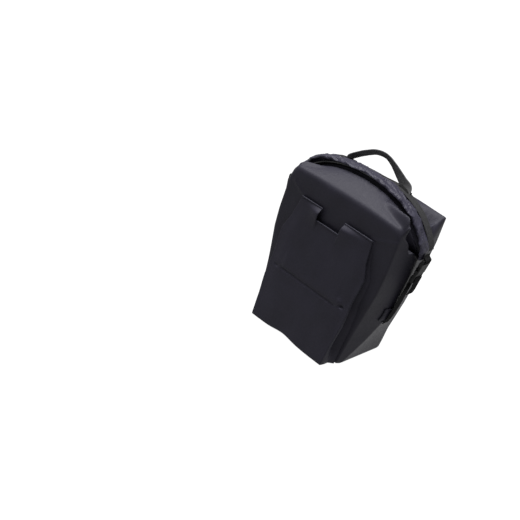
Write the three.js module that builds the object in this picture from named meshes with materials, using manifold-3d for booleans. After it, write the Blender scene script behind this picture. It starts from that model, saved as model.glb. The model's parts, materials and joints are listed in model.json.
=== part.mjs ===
// A roll-top bicycle pannier: a welded tarpaulin bag with a stiff back, a rolled mouth held down by two
// side-release buckles, a carry handle, and the rack hardware on its back: a rail with two latching hooks
// above and a short rail with a swivelling hook below.
// Millimetres, +Z up. The bag's front faces -Y and its back, which hangs on the rack, faces +Y.
import * as THREE from "three";
import { mergeVertices } from "three/addons/utils/BufferGeometryUtils.js";
import Module from "manifold-3d";

const wasm = await Module();
wasm.setup();

// ---------------------------------------------------------------- driving dimensions
const FABRIC = 1.6; // thickness of the coated fabric panels
const GAP = 0.5; // free space between neighbouring pieces
const BACK_TO_ORIGIN = 82; // from the origin, at the middle of the footprint, back to the back panel
const FRONT = -160; // outer face of the front panel, measured from the back panel
const SHOULDER = 377; // height of the crease between the front panel and the sloping top
const BACK_TOP = 391; // height of the stiff back panel
const RIDGE_Y = -82; // the side's ridge, the straps and the roll all lie in this plane
const VALLEY = 304; // height where each side dips under the end of the roll
const BOTTOM_ROUND = 14; // radius of the edge round the base
const EDGE = 0.006; // share of a panel left free at each upright seam
const WEB = 25; // width of the side webbing
const WEB_THICK = 1.8;
const HANDLE_WEB = 25; // width of the carry handle's webbing

// Half widths of the bag at a few heights, from the base up to the back panel's top.
const FRONT_EDGE = [[0, 124], [100, 134], [165, 143], [214, 151], [268, 154], [330, 154], [BACK_TOP, 151]];
const SIDE_RIDGE = [[0, 128], [70, 148], [150, 168], [260, 175], [320, 177], [BACK_TOP, 172]];
const BACK_EDGE = [[0, 136], [70, 141], [150, 153], [260, 163], [320, 166], [BACK_TOP, 164]];
// Where the side's ridge runs: straight down the middle, then forward to the front corner of the base.
const RIDGE_DEPTH = [[0, -150], [150, RIDGE_Y], [BACK_TOP, RIDGE_Y]];

const COLOURS = {
  tarpaulin: { color: 0x2b2a31, roughness: 0.55, metalness: 0 },
  webbing: { color: 0x1d1d20, roughness: 0.9, metalness: 0 },
  board: { color: 0x3a3a3d, roughness: 0.7, metalness: 0 },
  nylon: { color: 0x18181b, roughness: 0.45, metalness: 0 },
  aluminium: { color: 0x8d9096, roughness: 0.35, metalness: 0.9 },
  steel: { color: 0xa9abad, roughness: 0.3, metalness: 1 },
  rubber: { color: 0x222224, roughness: 0.85, metalness: 0 },
};

// ---------------------------------------------------------------- small helpers
const { degToRad, lerp, smoothstep } = THREE.MathUtils;
const v3 = (x, y, z) => new THREE.Vector3(x, y, z);

// The value at x of a line through a few [x, value] pairs.
function along(pairs, x) {
  const last = pairs.length - 1;
  const i = Math.min(last - 1, Math.max(0, pairs.findIndex((p) => p[0] >= x) - 1));
  const [[x0, a], [x1, b]] = [pairs[i], pairs[i + 1]];
  return lerp(a, b, THREE.MathUtils.clamp((x - x0) / (x1 - x0), 0, 1));
}

// A geometry as a solid that can be cut and joined, and back again.
function solid(geometry) {
  const plain = geometry.clone();
  for (const name of ["normal", "uv"]) plain.deleteAttribute(name);
  const merged = mergeVertices(plain, 1e-4);
  return new wasm.Manifold(
    new wasm.Mesh({
      numProp: 3,
      vertProperties: new Float32Array(merged.attributes.position.array),
      triVerts: new Uint32Array(merged.index.array),
    }),
  );
}

function geometryOf(manifold) {
  const mesh = manifold.getMesh();
  const geometry = new THREE.BufferGeometry();
  geometry.setAttribute("position", new THREE.BufferAttribute(mesh.vertProperties, 3));
  geometry.setIndex(new THREE.BufferAttribute(mesh.triVerts, 1));
  geometry.computeVertexNormals();
  return geometry;
}

// Geometry from vertices and faces, turned to face outwards.
function closedGeometry(points, faces) {
  let volume = 0;
  const normal = new THREE.Vector3();
  for (const [a, b, c] of faces) volume += points[a].dot(normal.crossVectors(points[b], points[c]));
  const index = volume > 0 ? faces.flat() : faces.flatMap(([a, b, c]) => [a, c, b]);
  const geometry = new THREE.BufferGeometry().setFromPoints(points).setIndex(index);
  geometry.computeVertexNormals();
  return geometry;
}

// A closed sheet between an outer and an inner face, both given as a point for each (column, row).
function sheet(columns, rows, outer, inner) {
  const points = [];
  for (const face of [outer, inner])
    for (let i = 0; i <= columns; i++)
      for (let j = 0; j <= rows; j++) points.push(face(i / columns, j / rows));
  const layer = (columns + 1) * (rows + 1);
  const at = (face, i, j) => face * layer + i * (rows + 1) + j;
  const faces = [];
  const quad = (a, b, c, d) => faces.push([a, b, c], [a, c, d]);
  for (let i = 0; i < columns; i++)
    for (let j = 0; j < rows; j++) {
      quad(at(0, i, j), at(0, i + 1, j), at(0, i + 1, j + 1), at(0, i, j + 1));
      quad(at(1, i, j), at(1, i, j + 1), at(1, i + 1, j + 1), at(1, i + 1, j));
    }
  for (let i = 0; i < columns; i++) {
    quad(at(1, i, 0), at(1, i + 1, 0), at(0, i + 1, 0), at(0, i, 0));
    quad(at(0, i, rows), at(0, i + 1, rows), at(1, i + 1, rows), at(1, i, rows));
  }
  for (let j = 0; j < rows; j++) {
    quad(at(0, 0, j), at(0, 0, j + 1), at(1, 0, j + 1), at(1, 0, j));
    quad(at(1, columns, j), at(1, columns, j + 1), at(0, columns, j + 1), at(0, columns, j));
  }
  return closedGeometry(points, faces);
}

// A solid through a row of closed rings that all have the same number of points.
function loft(rings) {
  const size = rings[0].length;
  const points = rings.flat();
  const faces = [];
  for (let r = 0; r + 1 < rings.length; r++)
    for (let i = 0; i < size; i++) {
      const j = (i + 1) % size;
      const [a, b] = [r * size + i, r * size + j];
      faces.push([a, b, b + size], [a, b + size, a + size]);
    }
  for (const [ring, start] of [[0, 0], [rings.length - 1, (rings.length - 1) * size]]) {
    const middle = rings[ring].reduce((sum, p) => sum.add(p), v3(0, 0, 0)).divideScalar(size);
    points.push(middle);
    const centre = points.length - 1;
    for (let i = 0; i < size; i++) {
      const j = (i + 1) % size;
      faces.push(ring === 0 ? [centre, start + j, start + i] : [centre, start + i, start + j]);
    }
  }
  return closedGeometry(points, faces);
}

// A block between two corners.
function block(low, high) {
  const size = high.map((h, i) => h - low[i]);
  const middle = high.map((h, i) => (h + low[i]) / 2);
  return new THREE.BoxGeometry(...size).translate(...middle);
}

// A rounded rectangle as a shape, centred on the origin.
function roundedRectangle(width, height, radius) {
  const [w, h, r] = [width / 2, height / 2, radius];
  const shape = new THREE.Shape();
  shape.moveTo(w - r, -h).absarc(w - r, -h + r, r, -Math.PI / 2, 0);
  shape.lineTo(w, h - r).absarc(w - r, h - r, r, 0, Math.PI / 2);
  shape.lineTo(-w + r, h).absarc(-w + r, h - r, r, Math.PI / 2, Math.PI);
  shape.lineTo(-w, -h + r).absarc(-w + r, -h + r, r, Math.PI, Math.PI * 1.5);
  return shape;
}

// A flat shape drawn in (x, y), standing on z 0 with this height.
function upright(shape, height) {
  return new THREE.ExtrudeGeometry(shape, { depth: height, bevelEnabled: false, curveSegments: 4 });
}

// A flat shape drawn in (y, z), given thickness along X and centred on x.
function acrossX(shape, thickness, x = 0, curveSegments = 6) {
  const geometry = new THREE.ExtrudeGeometry(shape, { depth: thickness, bevelEnabled: false, curveSegments });
  geometry.translate(0, 0, -thickness / 2);
  geometry.applyMatrix4(new THREE.Matrix4().makeBasis(v3(0, 1, 0), v3(0, 0, 1), v3(1, 0, 0)));
  return geometry.translate(x, 0, 0);
}

// A flat shape drawn in (x, z), given thickness along Y from y to y + thickness.
function acrossY(shape, thickness, y = 0, curveSegments = 6) {
  const geometry = new THREE.ExtrudeGeometry(shape, { depth: thickness, bevelEnabled: false, curveSegments });
  geometry.applyMatrix4(new THREE.Matrix4().makeBasis(v3(1, 0, 0), v3(0, 0, 1), v3(0, -1, 0)));
  return geometry.translate(0, y + thickness, 0);
}

function polygon(points) {
  return new THREE.Shape(points.map(([x, y]) => new THREE.Vector2(x, y)));
}

const DIRECTIONS = { x: v3(1, 0, 0), y: v3(0, 1, 0), z: v3(0, 0, 1) };
// A round bar along an axis, centred on a point.
function bar(radius, length, axis, centre, sides = 14) {
  const geometry = new THREE.CylinderGeometry(radius, radius, length, sides);
  geometry.applyQuaternion(new THREE.Quaternion().setFromUnitVectors(DIRECTIONS.y, DIRECTIONS[axis]));
  return geometry.translate(...centre);
}

function part(name, finish, geometry) {
  const mesh = new THREE.Mesh(geometry, new THREE.MeshStandardMaterial(COLOURS[finish]));
  mesh.name = name;
  return mesh;
}

// ---------------------------------------------------------------- the bag's walls
// A point of the bag's wall. turn runs 0 to 6 round it: 0 front middle, 1 right front edge, 2 right back
// edge, 3 back middle, 4 left back edge, 5 left front edge. inset moves the point into the bag.
function wallPoint(turn, z, inset) {
  const round = ((turn % 6) + 6) % 6;
  const side = round <= 3 ? 1 : -1;
  const a = side > 0 ? round : 6 - round;
  const rise = Math.min(z, BOTTOM_ROUND);
  const tuck = BOTTOM_ROUND - Math.sqrt(BOTTOM_ROUND ** 2 - (BOTTOM_ROUND - rise) ** 2);
  const depth = tuck + inset;
  const frontEdge = [along(FRONT_EDGE, z) - depth * 0.7, FRONT + depth];
  const ridge = [along(SIDE_RIDGE, z) - depth, along(RIDGE_DEPTH, z) + depth * 0.2];
  const backEdge = [along(BACK_EDGE, z) - depth, -depth];
  const mix = (p, q, t) => v3(side * lerp(p[0], q[0], t), lerp(p[1], q[1], t), z);
  if (a <= 1) return v3(side * frontEdge[0] * a, frontEdge[1], z);
  if (a <= 1.5) return mix(frontEdge, ridge, (a - 1) * 2);
  if (a <= 2) return mix(ridge, backEdge, (a - 1.5) * 2);
  return v3(side * backEdge[0] * (3 - a), backEdge[1], z);
}

// A wall panel from one turn to another, from the base tray up to top(turn).
function wallPanel(from, to, columns, rows, top, bottom = BOTTOM_ROUND + GAP) {
  const face = (inset) => (u, v) => {
    const turn = lerp(from, to, u);
    return wallPoint(turn, lerp(bottom, top(turn), v), inset);
  };
  return sheet(columns, rows, face(0), face(FABRIC));
}

// The gussets' upper edge: down from the front corner to the valley, then up to the back corner.
function gussetTop(turn) {
  const a = turn <= 3 ? turn : 6 - turn;
  return a < 1.5 ? lerp(SHOULDER - 2, VALLEY, (a - 1) * 2) : lerp(VALLEY, BACK_TOP - 2, (a - 1.5) * 2);
}

function baseTray() {
  const ring = (z, inset) => {
    const points = [];
    for (const edge of [0, 1, 1.5, 2, 3, 4, 4.5, 5]) points.push(wallPoint(edge, z, inset));
    return points;
  };
  const curve = [3, 7]; // heights between the base and the top of its rounded edge
  const outside = [0, 1, ...curve, BOTTOM_ROUND].map((z) => ring(z, 0));
  const inside = [FABRIC, ...curve, BOTTOM_ROUND + 1].map((z) => ring(z, FABRIC));
  return geometryOf(solid(loft(outside)).subtract(solid(loft(inside))));
}

// The front pocket: a panel with a finger notch in its upper edge. It lies close to the front panel at the
// top and leans out to its full depth at the bottom, held off by a wall down each side and a floor.
const POCKET = { low: 3, top: 324, topDepth: 7, lowDepth: 38, wall: 3 };
const NOTCH = { x: -9, half: 33, deep: 32, taper: 3 };
const POCKET_SIDE = [[POCKET.low, 104], [60, 112], [150, 118], [234, 122], [270, 112], [POCKET.top, 103]];

// Leans a shape forward so that it follows the pocket's panel down from its upper edge.
function leanForward(geometry) {
  const lean = (POCKET.lowDepth - POCKET.topDepth) / (POCKET.top - POCKET.low);
  geometry.translate(0, 0, -POCKET.top);
  geometry.applyMatrix4(new THREE.Matrix4().makeShear(0, 0, 0, 0, 0, lean));
  return geometry.translate(0, 0, POCKET.top);
}

// Points up one side of the pocket at a distance in from its edge, on the side given by sign.
function pocketSide(sign, margin) {
  return POCKET_SIDE.map(([z, x]) => [sign * (x - margin), z]);
}

function pocketPanel() {
  const { top, topDepth } = POCKET;
  const { x, half, deep, taper } = NOTCH;
  const inner = half - taper;
  const mouth = [[x + half, top], [x + inner, top - deep], [x - inner, top - deep], [x - half, top]];
  const outline = [...pocketSide(1, 0), ...mouth, ...pocketSide(-1, 0).reverse()];
  return leanForward(acrossY(polygon(outline), FABRIC, FRONT - topDepth));
}

// A piece that fills the room between the front panel and the pocket's panel inside an outline.
function pocketFiller(outline) {
  const room = POCKET.lowDepth - GAP;
  const whole = solid(acrossY(polygon(outline), room, FRONT - GAP - room));
  const [wide, high] = [POCKET.top / 2, POCKET.top * 2];
  const ahead = polygon([[-wide, -high], [wide, -high], [wide, high], [-wide, high]]);
  const inner = FRONT - POCKET.topDepth + FABRIC + GAP;
  return geometryOf(whole.subtract(solid(leanForward(acrossY(ahead, 2 * room, inner - 2 * room)))));
}

function pocketWall(sign) {
  return pocketFiller([...pocketSide(sign, GAP), ...pocketSide(sign, POCKET.wall).reverse()]);
}

function pocketFloor() {
  const { low, wall } = POCKET;
  const half = POCKET_SIDE[0][1] - wall - GAP;
  return pocketFiller([[-half, low], [half, low], [half, low + wall], [-half, low + wall]]);
}

// ---------------------------------------------------------------- the rolled mouth
const ROLL = { wide: 38, thick: 15, round: 6, rim: 4, hollow: 4, steps: 32 };
const OVER = 0.02; // how far a cut runs past the roll's ends, as a share of its length
const ROLL_LINE = new THREE.CatmullRomCurve3(
  [[186, 312], [180, 334], [162, 360], [132, 386], [92, 405], [46, 416], [0, 419]]
    .flatMap(([x, z], i, all) => (i < all.length - 1 ? [[x, z], [-x, z]] : [[x, z]]))
    .sort((p, q) => p[0] - q[0])
    .map(([x, z]) => v3(x, RIDGE_Y, z)),
  false,
  "centripetal",
);
const ROLL_LENGTH = ROLL_LINE.getLength();

// A point beside the roll's middle line, which goes on straight past its ends: across is along Y, out is
// away from the bag.
function rollPoint(t, across, out) {
  const inside = THREE.MathUtils.clamp(t, 0, 1);
  const tangent = ROLL_LINE.getTangent(inside);
  const point = ROLL_LINE.getPoint(inside).addScaledVector(tangent, (t - inside) * ROLL_LENGTH);
  return point.add(v3(-tangent.z * out, across, tangent.x * out));
}

// A bar along the roll's line between two shares of its length, through the corners of its section, each
// given as [across, out].
function rollBar(corners, from, to, steps) {
  const rings = [];
  for (let i = 0; i <= steps; i++)
    rings.push(corners.map(([across, out]) => rollPoint(lerp(from, to, i / steps), across, out)));
  return loft(rings);
}

// The corners of a flat strip's section.
function flatSection(wide, thick) {
  const [a, b] = [wide / 2, thick / 2];
  return [[-a, -b], [a, -b], [a, b], [-a, b]];
}

// The share of the roll's line at which it reaches x.
function shareAt(x) {
  let [low, high] = [0, 1];
  for (let i = 0; i < 30; i++) {
    const middle = (low + high) / 2;
    if (ROLL_LINE.getPoint(middle).x < x) low = middle;
    else high = middle;
  }
  return (low + high) / 2;
}

function rollClosure() {
  const { wide, thick, round, rim, hollow, steps } = ROLL;
  const outline = roundedRectangle(wide, thick, round).getPoints(3).slice(0, -1);
  const outside = solid(rollBar(outline.map((p) => [p.x, p.y]), 0, 1, steps));
  const inside = solid(rollBar(flatSection(wide - 2 * rim, hollow), -OVER, 1 + OVER, steps));
  return geometryOf(outside.subtract(inside));
}

// The stiff strip inside the roll.
function rollStiffener() {
  const section = flatSection(ROLL.wide - 10, 2.4);
  const end = 0.03; // share of the roll's length beyond each end of the strip
  return rollBar(section, end, 1 - end, ROLL.steps);
}

// The webbing that runs over the top behind the roll and carries the handle. It leans back a little.
const BAND = {
  near: ROLL.wide / 2 + 1.5, far: ROLL.wide / 2 + 26.5, nearOut: -7.5, farOut: -11, thick: 2, end: 0.17,
};
function closureBand() {
  const { near, far, nearOut, farOut, thick, end } = BAND;
  const section = [[near, nearOut], [far, farOut], [far, farOut + thick], [near, nearOut + thick]];
  return rollBar(section, end, 1 - end, ROLL.steps);
}

// The sloping top, from the bag's upper edge on one side to the underside of the roll. Both halves are
// measured along the bag by a share that runs from -1 to 1 between its ends.
const COLLAR = {
  reach: 0.93, // share of the bag's length that the fabric covers
  low: 0.03, // where it starts and ends between the bag's edge and the roll
  high: 0.95,
  under: 1.5, // free space under the roll
  end: 176, // half width at the bag's ends
  endAcross: 0.3, // how far the ends still follow the roll's edge
  rollShare: 0.485, // share of the roll's line that goes with one half of the bag
};
// The dip near each corner: it starts, is deepest and has gone at these shares.
const DIP = { start: 0.28, deep: 0.66, gone: 0.8 };
function collar({ edgeY, corner, edgeTop, cornerShare, rollAcross, sag }) {
  const lower = (s) => {
    const [side, a] = [Math.sign(s) || 1, Math.abs(s)];
    if (a <= cornerShare) return v3((side * corner * a) / cornerShare, edgeY, edgeTop);
    const t = (a - cornerShare) / (1 - cornerShare);
    const y = lerp(edgeY, RIDGE_Y + rollAcross * COLLAR.endAcross, t);
    return v3(side * lerp(corner, COLLAR.end, t), y, lerp(edgeTop, VALLEY + 4, t));
  };
  const upper = (s) => rollPoint(0.5 + s * COLLAR.rollShare, rollAcross, -ROLL.thick / 2 - COLLAR.under);
  const surface = (u, v) => {
    const s = (u * 2 - 1) * COLLAR.reach;
    const [from, to] = [lower(s), upper(s)];
    const share = lerp(COLLAR.low, COLLAR.high, v);
    const span = Math.abs(to.y - from.y) / Math.abs(RIDGE_Y);
    const near = smoothstep(Math.abs(s), DIP.start, DIP.deep) - smoothstep(Math.abs(s), DIP.deep, DIP.gone);
    const hollow = (27 / 4) * share ** 2 * (1 - share); // 1 where it is deepest, two thirds of the way up
    const dip = sag * near * span * hollow;
    return from.lerp(to, share).sub(v3(0, 0, dip));
  };
  const inner = (u, v) => {
    const step = 0.01;
    const du = surface(Math.min(1, u + step), v).sub(surface(Math.max(0, u - step), v));
    const dv = surface(u, Math.min(1, v + step)).sub(surface(u, Math.max(0, v - step)));
    const normal = du.cross(dv).normalize();
    if (normal.z > 0) normal.negate();
    return surface(u, v).addScaledVector(normal, FABRIC);
  };
  return sheet(28, 4, surface, inner);
}
const FRONT_COLLAR = {
  edgeY: FRONT, corner: 148, edgeTop: SHOULDER + 1, cornerShare: 0.6, rollAcross: 5 - ROLL.wide / 2, sag: 6,
};
const BACK_COLLAR = {
  edgeY: -1, corner: 163, edgeTop: BACK_TOP, cornerShare: 0.66, rollAcross: ROLL.wide / 2 - 5, sag: 36,
};

// ---------------------------------------------------------------- straps and buckles
// Everything on one side's strap is made in the strap's own frame: z up along it, x out of the bag,
// y across it, with its origin at the mouth of the socket. The left side is the right one mirrored.
const STRAP = { x: 193, z: 280, tilt: degToRad(7.6) };
const BUCKLE = { wide: 34, thick: 10, socket: 27, frame: 25, channel: 13.5, slot: 4.4 };
const WEB_SLOT = WEB / 2 + 0.8; // half length of a slot that webbing passes through
const ARM = [
  [8.6, 0.3], [12.4, 0.3], [12.4, 8], [13.1, 9], [13.1, 16], [11.2, 21], [9.2, 21], [9.2, 14], [8.6, 8],
];
// From the anchor up behind the plug, through its upper slot and down in front as a short tail.
const STRAP_LINE = [
  [-6.2, -158], [-2.6, -128], [-6, -15], [-5.6, -10.5], [-4.4, -9.2],
  [4.4, -9.2], [5.6, -10.5], [6.2, -14], [6.4, -24], [7.4, -44], [6.4, -58],
];
// The short webbing that ties the socket to the end of the roll, round the bar in the socket's neck.
const TAB_LINE = [[-6.2, 46], [-1.6, 40.6], [3.4, 38], [5.2, 35.2], [5.2, 31.4], [4, 30.5], [-1.8, 30.5]];

function buckleSocket() {
  const { wide, thick, socket, channel } = BUCKLE;
  const body = upright(roundedRectangle(thick, wide, 3), socket);
  const neck = block([-3, -wide / 2 + 1, socket - 1], [3, wide / 2 - 1, socket + 9]);
  const cuts = [
    block([-3, -channel, -1], [3, channel, socket - 3]),
    block([-3, -wide, 7], [3, wide, 19]),
    block([-4, -WEB_SLOT, socket + 1.5], [4, WEB_SLOT, socket + 5.5]),
  ];
  return geometryOf(cuts.reduce((made, cut) => made.subtract(solid(cut)), solid(body).add(solid(neck))));
}

function bucklePlug() {
  const { wide, thick, frame, slot } = BUCKLE;
  const body = upright(roundedRectangle(thick - 2, wide, 2.5), frame).translate(0, 0, -frame - GAP);
  const tongue = block([-2, -3, -frame / 4], [2, 3, BUCKLE.socket - 6]);
  const slots = [-7, -16].map((z) => block([-9, -WEB_SLOT, z - slot], [9, WEB_SLOT, z]));
  return geometryOf(slots.reduce((made, cut) => made.subtract(solid(cut)), solid(body).add(solid(tongue))));
}

// One of the plug's two spring arms, on the side of the strap given by sign.
function buckleArm(sign) {
  return geometryOf(solid(acrossX(polygon(ARM), 4.6)).scale([1, sign, 1]));
}

// Webbing that hugs a line in the (x, z) plane of the strap's frame.
function webbing(line, wide, thick) {
  const path = line.map(([x, z]) => new THREE.Vector2(x, z));
  const normals = path.map((p, i) => {
    const before = path[Math.max(0, i - 1)];
    const after = path[Math.min(path.length - 1, i + 1)];
    const d = after.clone().sub(before).normalize();
    return new THREE.Vector2(-d.y, d.x).multiplyScalar(thick / 2);
  });
  const face = (i, s, y) => v3(path[i].x + s * normals[i].x, y, path[i].y + s * normals[i].y);
  const ring = (i, y) => [face(i, 1, y), face(i, -1, y)];
  const rings = path.map((p, i) => {
    const [a, b] = ring(i, -wide / 2);
    const [c, d] = ring(i, wide / 2);
    return [a, b, d, c];
  });
  return loft(rings);
}

// A reinforced patch folded over the side's ridge, with the strap's lower end on it.
const ANCHOR = { turns: 0.26, low: 112, high: 152, thick: 2.5 };
function strapAnchor() {
  const { turns, low, high, thick } = ANCHOR;
  const face = (outward) => (u, v) => wallPoint(1.5 + (u - 0.5) * turns, lerp(low, high, v), -outward);
  return sheet(2, 4, face(GAP + thick), face(GAP));
}

function sidePieces(side, name) {
  const group = new THREE.Group();
  const frame = new THREE.Group();
  frame.position.set(STRAP.x, RIDGE_Y, STRAP.z);
  frame.rotation.y = STRAP.tilt;
  frame.add(
    part(`${name}_buckle_socket`, "nylon", buckleSocket()),
    part(`${name}_buckle_plug`, "nylon", bucklePlug()),
    part(`${name}_buckle_front_arm`, "nylon", buckleArm(-1)),
    part(`${name}_buckle_rear_arm`, "nylon", buckleArm(1)),
    part(`${name}_side_strap`, "webbing", webbing(STRAP_LINE, WEB, WEB_THICK)),
    part(`${name}_roll_tab`, "webbing", webbing(TAB_LINE, WEB - 2, WEB_THICK)),
  );
  group.add(frame, part(`${name}_strap_anchor`, "tarpaulin", strapAnchor()));
  group.scale.x = side;
  return group;
}

// ---------------------------------------------------------------- the carry handle
const HANDLE = {
  y: -57, // its feet, which it swings about
  pivot: 411,
  left: -86, // x of its feet
  right: 77,
  thick: 2.4,
  tab: 9, // length of the tab under each foot
  lean: degToRad(32), // it lies back this far at rest
  straight: 0.05, // shares of its length where the twist starts at each end and where it is done
  flatLeft: 0.24,
  flatRight: 0.4,
};
// The loop, as heights above its feet: it flops over to one side.
const HANDLE_LOOP = [
  [HANDLE.left, 0], [HANDLE.left, 4], [-85, 8], [-75, 19], [-56, 35], [-38, 46], [-16, 50],
  [4, 45.5], [22, 37.5], [41, 28], [60, 18], [75, 10], [HANDLE.right, 5], [HANDLE.right, 0],
];
const HANDLE_LINE = new THREE.CatmullRomCurve3(
  HANDLE_LOOP.map(([x, z]) => v3(x, 0, z)),
  false,
  "centripetal",
);

// The webbing stands across the bag at its ends and twists to lie flat under the hand.
function carryHandle() {
  const steps = 84;
  const rings = [];
  for (let i = 0; i <= steps; i++) {
    const t = i / steps;
    const tangent = HANDLE_LINE.getTangent(t);
    const { straight, flatLeft, flatRight } = HANDLE;
    const turned = smoothstep(t, straight, flatLeft) + 1 - smoothstep(1 - t, straight, flatRight);
    const twist = turned * (Math.PI / 2);
    const across = v3(tangent.z, 0, -tangent.x);
    const side = across.multiplyScalar(Math.cos(twist)).add(v3(0, -Math.sin(twist), 0));
    const face = side.clone().cross(tangent);
    const corner = (a, b) => {
      const onEdge = HANDLE_LINE.getPoint(t).addScaledVector(side, (a * HANDLE_WEB) / 2);
      return onEdge.addScaledVector(face, (b * HANDLE.thick) / 2);
    };
    const places = [1, 1 / 3, -1 / 3, -1];
    const upper = places.map((a) => corner(a, 1));
    const lower = places.map((a) => corner(-a, -1));
    rings.push([...upper, ...lower]);
  }
  return loft(rings).rotateX(-HANDLE.lean).translate(0, HANDLE.y, HANDLE.pivot);
}

// The sewn tab under one end of the handle: level on top, and following the band below.
function handleTab(foot) {
  const from = shareAt(foot - HANDLE_WEB / 2);
  const to = shareAt(foot + HANDLE_WEB / 2);
  const [near, far] = [HANDLE.y - RIDGE_Y - HANDLE.tab / 2, HANDLE.y - RIDGE_Y + HANDLE.tab / 2];
  const lift = (across) => {
    const share = (across - BAND.near) / (BAND.far - BAND.near);
    return lerp(BAND.nearOut, BAND.farOut, share) + BAND.thick + GAP;
  };
  const rings = [];
  for (let i = 0; i <= 4; i++) {
    const low = [near, far].map((across) => rollPoint(lerp(from, to, i / 4), across, lift(across)));
    const high = low.map((p) => v3(p.x, p.y, HANDLE.pivot - 2.5));
    rings.push([low[0], low[1], high[1], high[0]]);
  }
  return loft(rings);
}

// ---------------------------------------------------------------- the rack hardware
const RAIL = { z: 346, half: 132, head: 12, neck: 7, neckOut: 3.6, out: 7.6 };
const RAIL_SCREWS = [-0.9, -0.3, 0.3, 0.9]; // places along the rail, as shares of its half length
const LOWER_SCREWS = [-0.85, 0.85];
const LOWER_RAIL = { z: 106, half: 78, head: 9, neck: 5, neckOut: 3.6, out: 6.6 };

// A T-shaped rail on the back panel: a narrow neck and a wider head that the hooks run on.
function railBar({ z, half, head, neck, neckOut, out }) {
  const section = polygon([
    [GAP, z - neck], [neckOut, z - neck], [neckOut, z - head], [out, z - head],
    [out, z + head], [neckOut, z + head], [neckOut, z + neck], [GAP, z + neck],
  ]);
  return acrossX(section, half * 2);
}

// A countersunk screw, its head below the rail's face so that the hooks slide over it.
const SCREW = { shank: 2, head: 4, sink: 0.4, headDeep: 1.7, inside: 5, room: 0.4 };
function railScrew({ z, out, half }, share) {
  const x = half * share;
  const top = out - SCREW.sink;
  const shank = bar(SCREW.shank, top + SCREW.inside - 0.5, "y", [x, (top - SCREW.inside - 0.5) / 2, z]);
  const head = bar(SCREW.head, SCREW.headDeep, "y", [x, top - SCREW.headDeep / 2, z]);
  return geometryOf(solid(shank).add(solid(head)));
}

// What is cut away for a screw's shank.
function screwHole(x, z) {
  return solid(bar(SCREW.shank + SCREW.room, 30, "y", [x, 0, z]));
}

// The rail with a hole and a recess for each of its screws.
function drilledRail(dimensions, shares) {
  const { z, out, half } = dimensions;
  let made = solid(railBar(dimensions));
  for (const share of shares) {
    const floor = out - SCREW.sink - SCREW.headDeep - 0.3;
    made = made.subtract(screwHole(half * share, z));
    made = made.subtract(solid(bar(SCREW.head + SCREW.room, 10, "y", [half * share, floor + 5, z])));
  }
  return geometryOf(made);
}

// A back piece with the holes for all of the rails' screws.
function drilled(geometry) {
  let made = solid(geometry);
  for (const [{ z, half }, shares] of [[RAIL, RAIL_SCREWS], [LOWER_RAIL, LOWER_SCREWS]])
    for (const share of shares) made = made.subtract(screwHole(half * share, z));
  return geometryOf(made);
}

function endCap(side) {
  const { z, half, head, out } = RAIL;
  const [near, far] = [half + GAP, half + 6];
  return block([side > 0 ? near : -far, GAP, z - head], [side > 0 ? far : -near, out, z + head]);
}

// A hook that runs on the rail and drops over a rack tube up to 16 mm thick.
const HOOK = { x: 72, wide: 28, plate: 13, throat: 16, finger: 5, seat: 362, tip: 338, foot: 311 };
const NEAR = 1.2; // from the back panel to anything that slides on a rail
const CLEAR = 0.4; // free space round a rail's head
// Its latch turns on a pin in the hook's slotted foot and shuts the throat from below.
const LATCH = { y: 9.5, z: 320, barrel: 3.6, pin: 1.5, wide: 14, lean: degToRad(40), blade: 22 };
const LATCH_SLOT = { half: LATCH.wide / 2 + 0.6, top: 347 };

function hookBody(x) {
  const { wide, plate, throat, finger, seat, tip, foot } = HOOK;
  const { z, head, neckOut, neck, out } = RAIL;
  const lip = neck + CLEAR + 0.2;
  const top = seat + 6;
  const [front, outer] = [plate + throat, plate + throat + finger];
  const section = new THREE.Shape();
  section.moveTo(plate - 4, foot).quadraticCurveTo(plate, foot, plate, foot + 4).lineTo(plate, seat);
  section.lineTo(front, seat).lineTo(front, tip + 2).lineTo(front + finger / 2, tip).lineTo(outer, tip + 2);
  section.lineTo(outer, top - 9).quadraticCurveTo(outer, top, outer - 9, top);
  section.lineTo(NEAR, top).lineTo(NEAR, z + lip).lineTo(neckOut - CLEAR, z + lip);
  section.lineTo(neckOut - CLEAR, z + head + CLEAR).lineTo(out + CLEAR, z + head + CLEAR);
  section.lineTo(out + CLEAR, z - head - CLEAR).lineTo(neckOut - CLEAR, z - head - CLEAR);
  section.lineTo(neckOut - CLEAR, z - lip).lineTo(NEAR, z - lip);
  section.lineTo(NEAR, foot + 5).lineTo(NEAR + 5, foot);
  const cuts = [
    block([x - LATCH_SLOT.half, -1, foot - 1], [x + LATCH_SLOT.half, plate + 1, z - head - CLEAR]),
    block([x - LATCH_SLOT.half, out, z - head - 1], [x + LATCH_SLOT.half, plate + 1, LATCH_SLOT.top]),
    bar(LATCH.pin + 0.3, wide + 2, "x", [x, LATCH.y, LATCH.z]),
  ];
  return geometryOf(cuts.reduce((made, c) => made.subtract(solid(c)), solid(acrossX(section, wide, x))));
}

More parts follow.
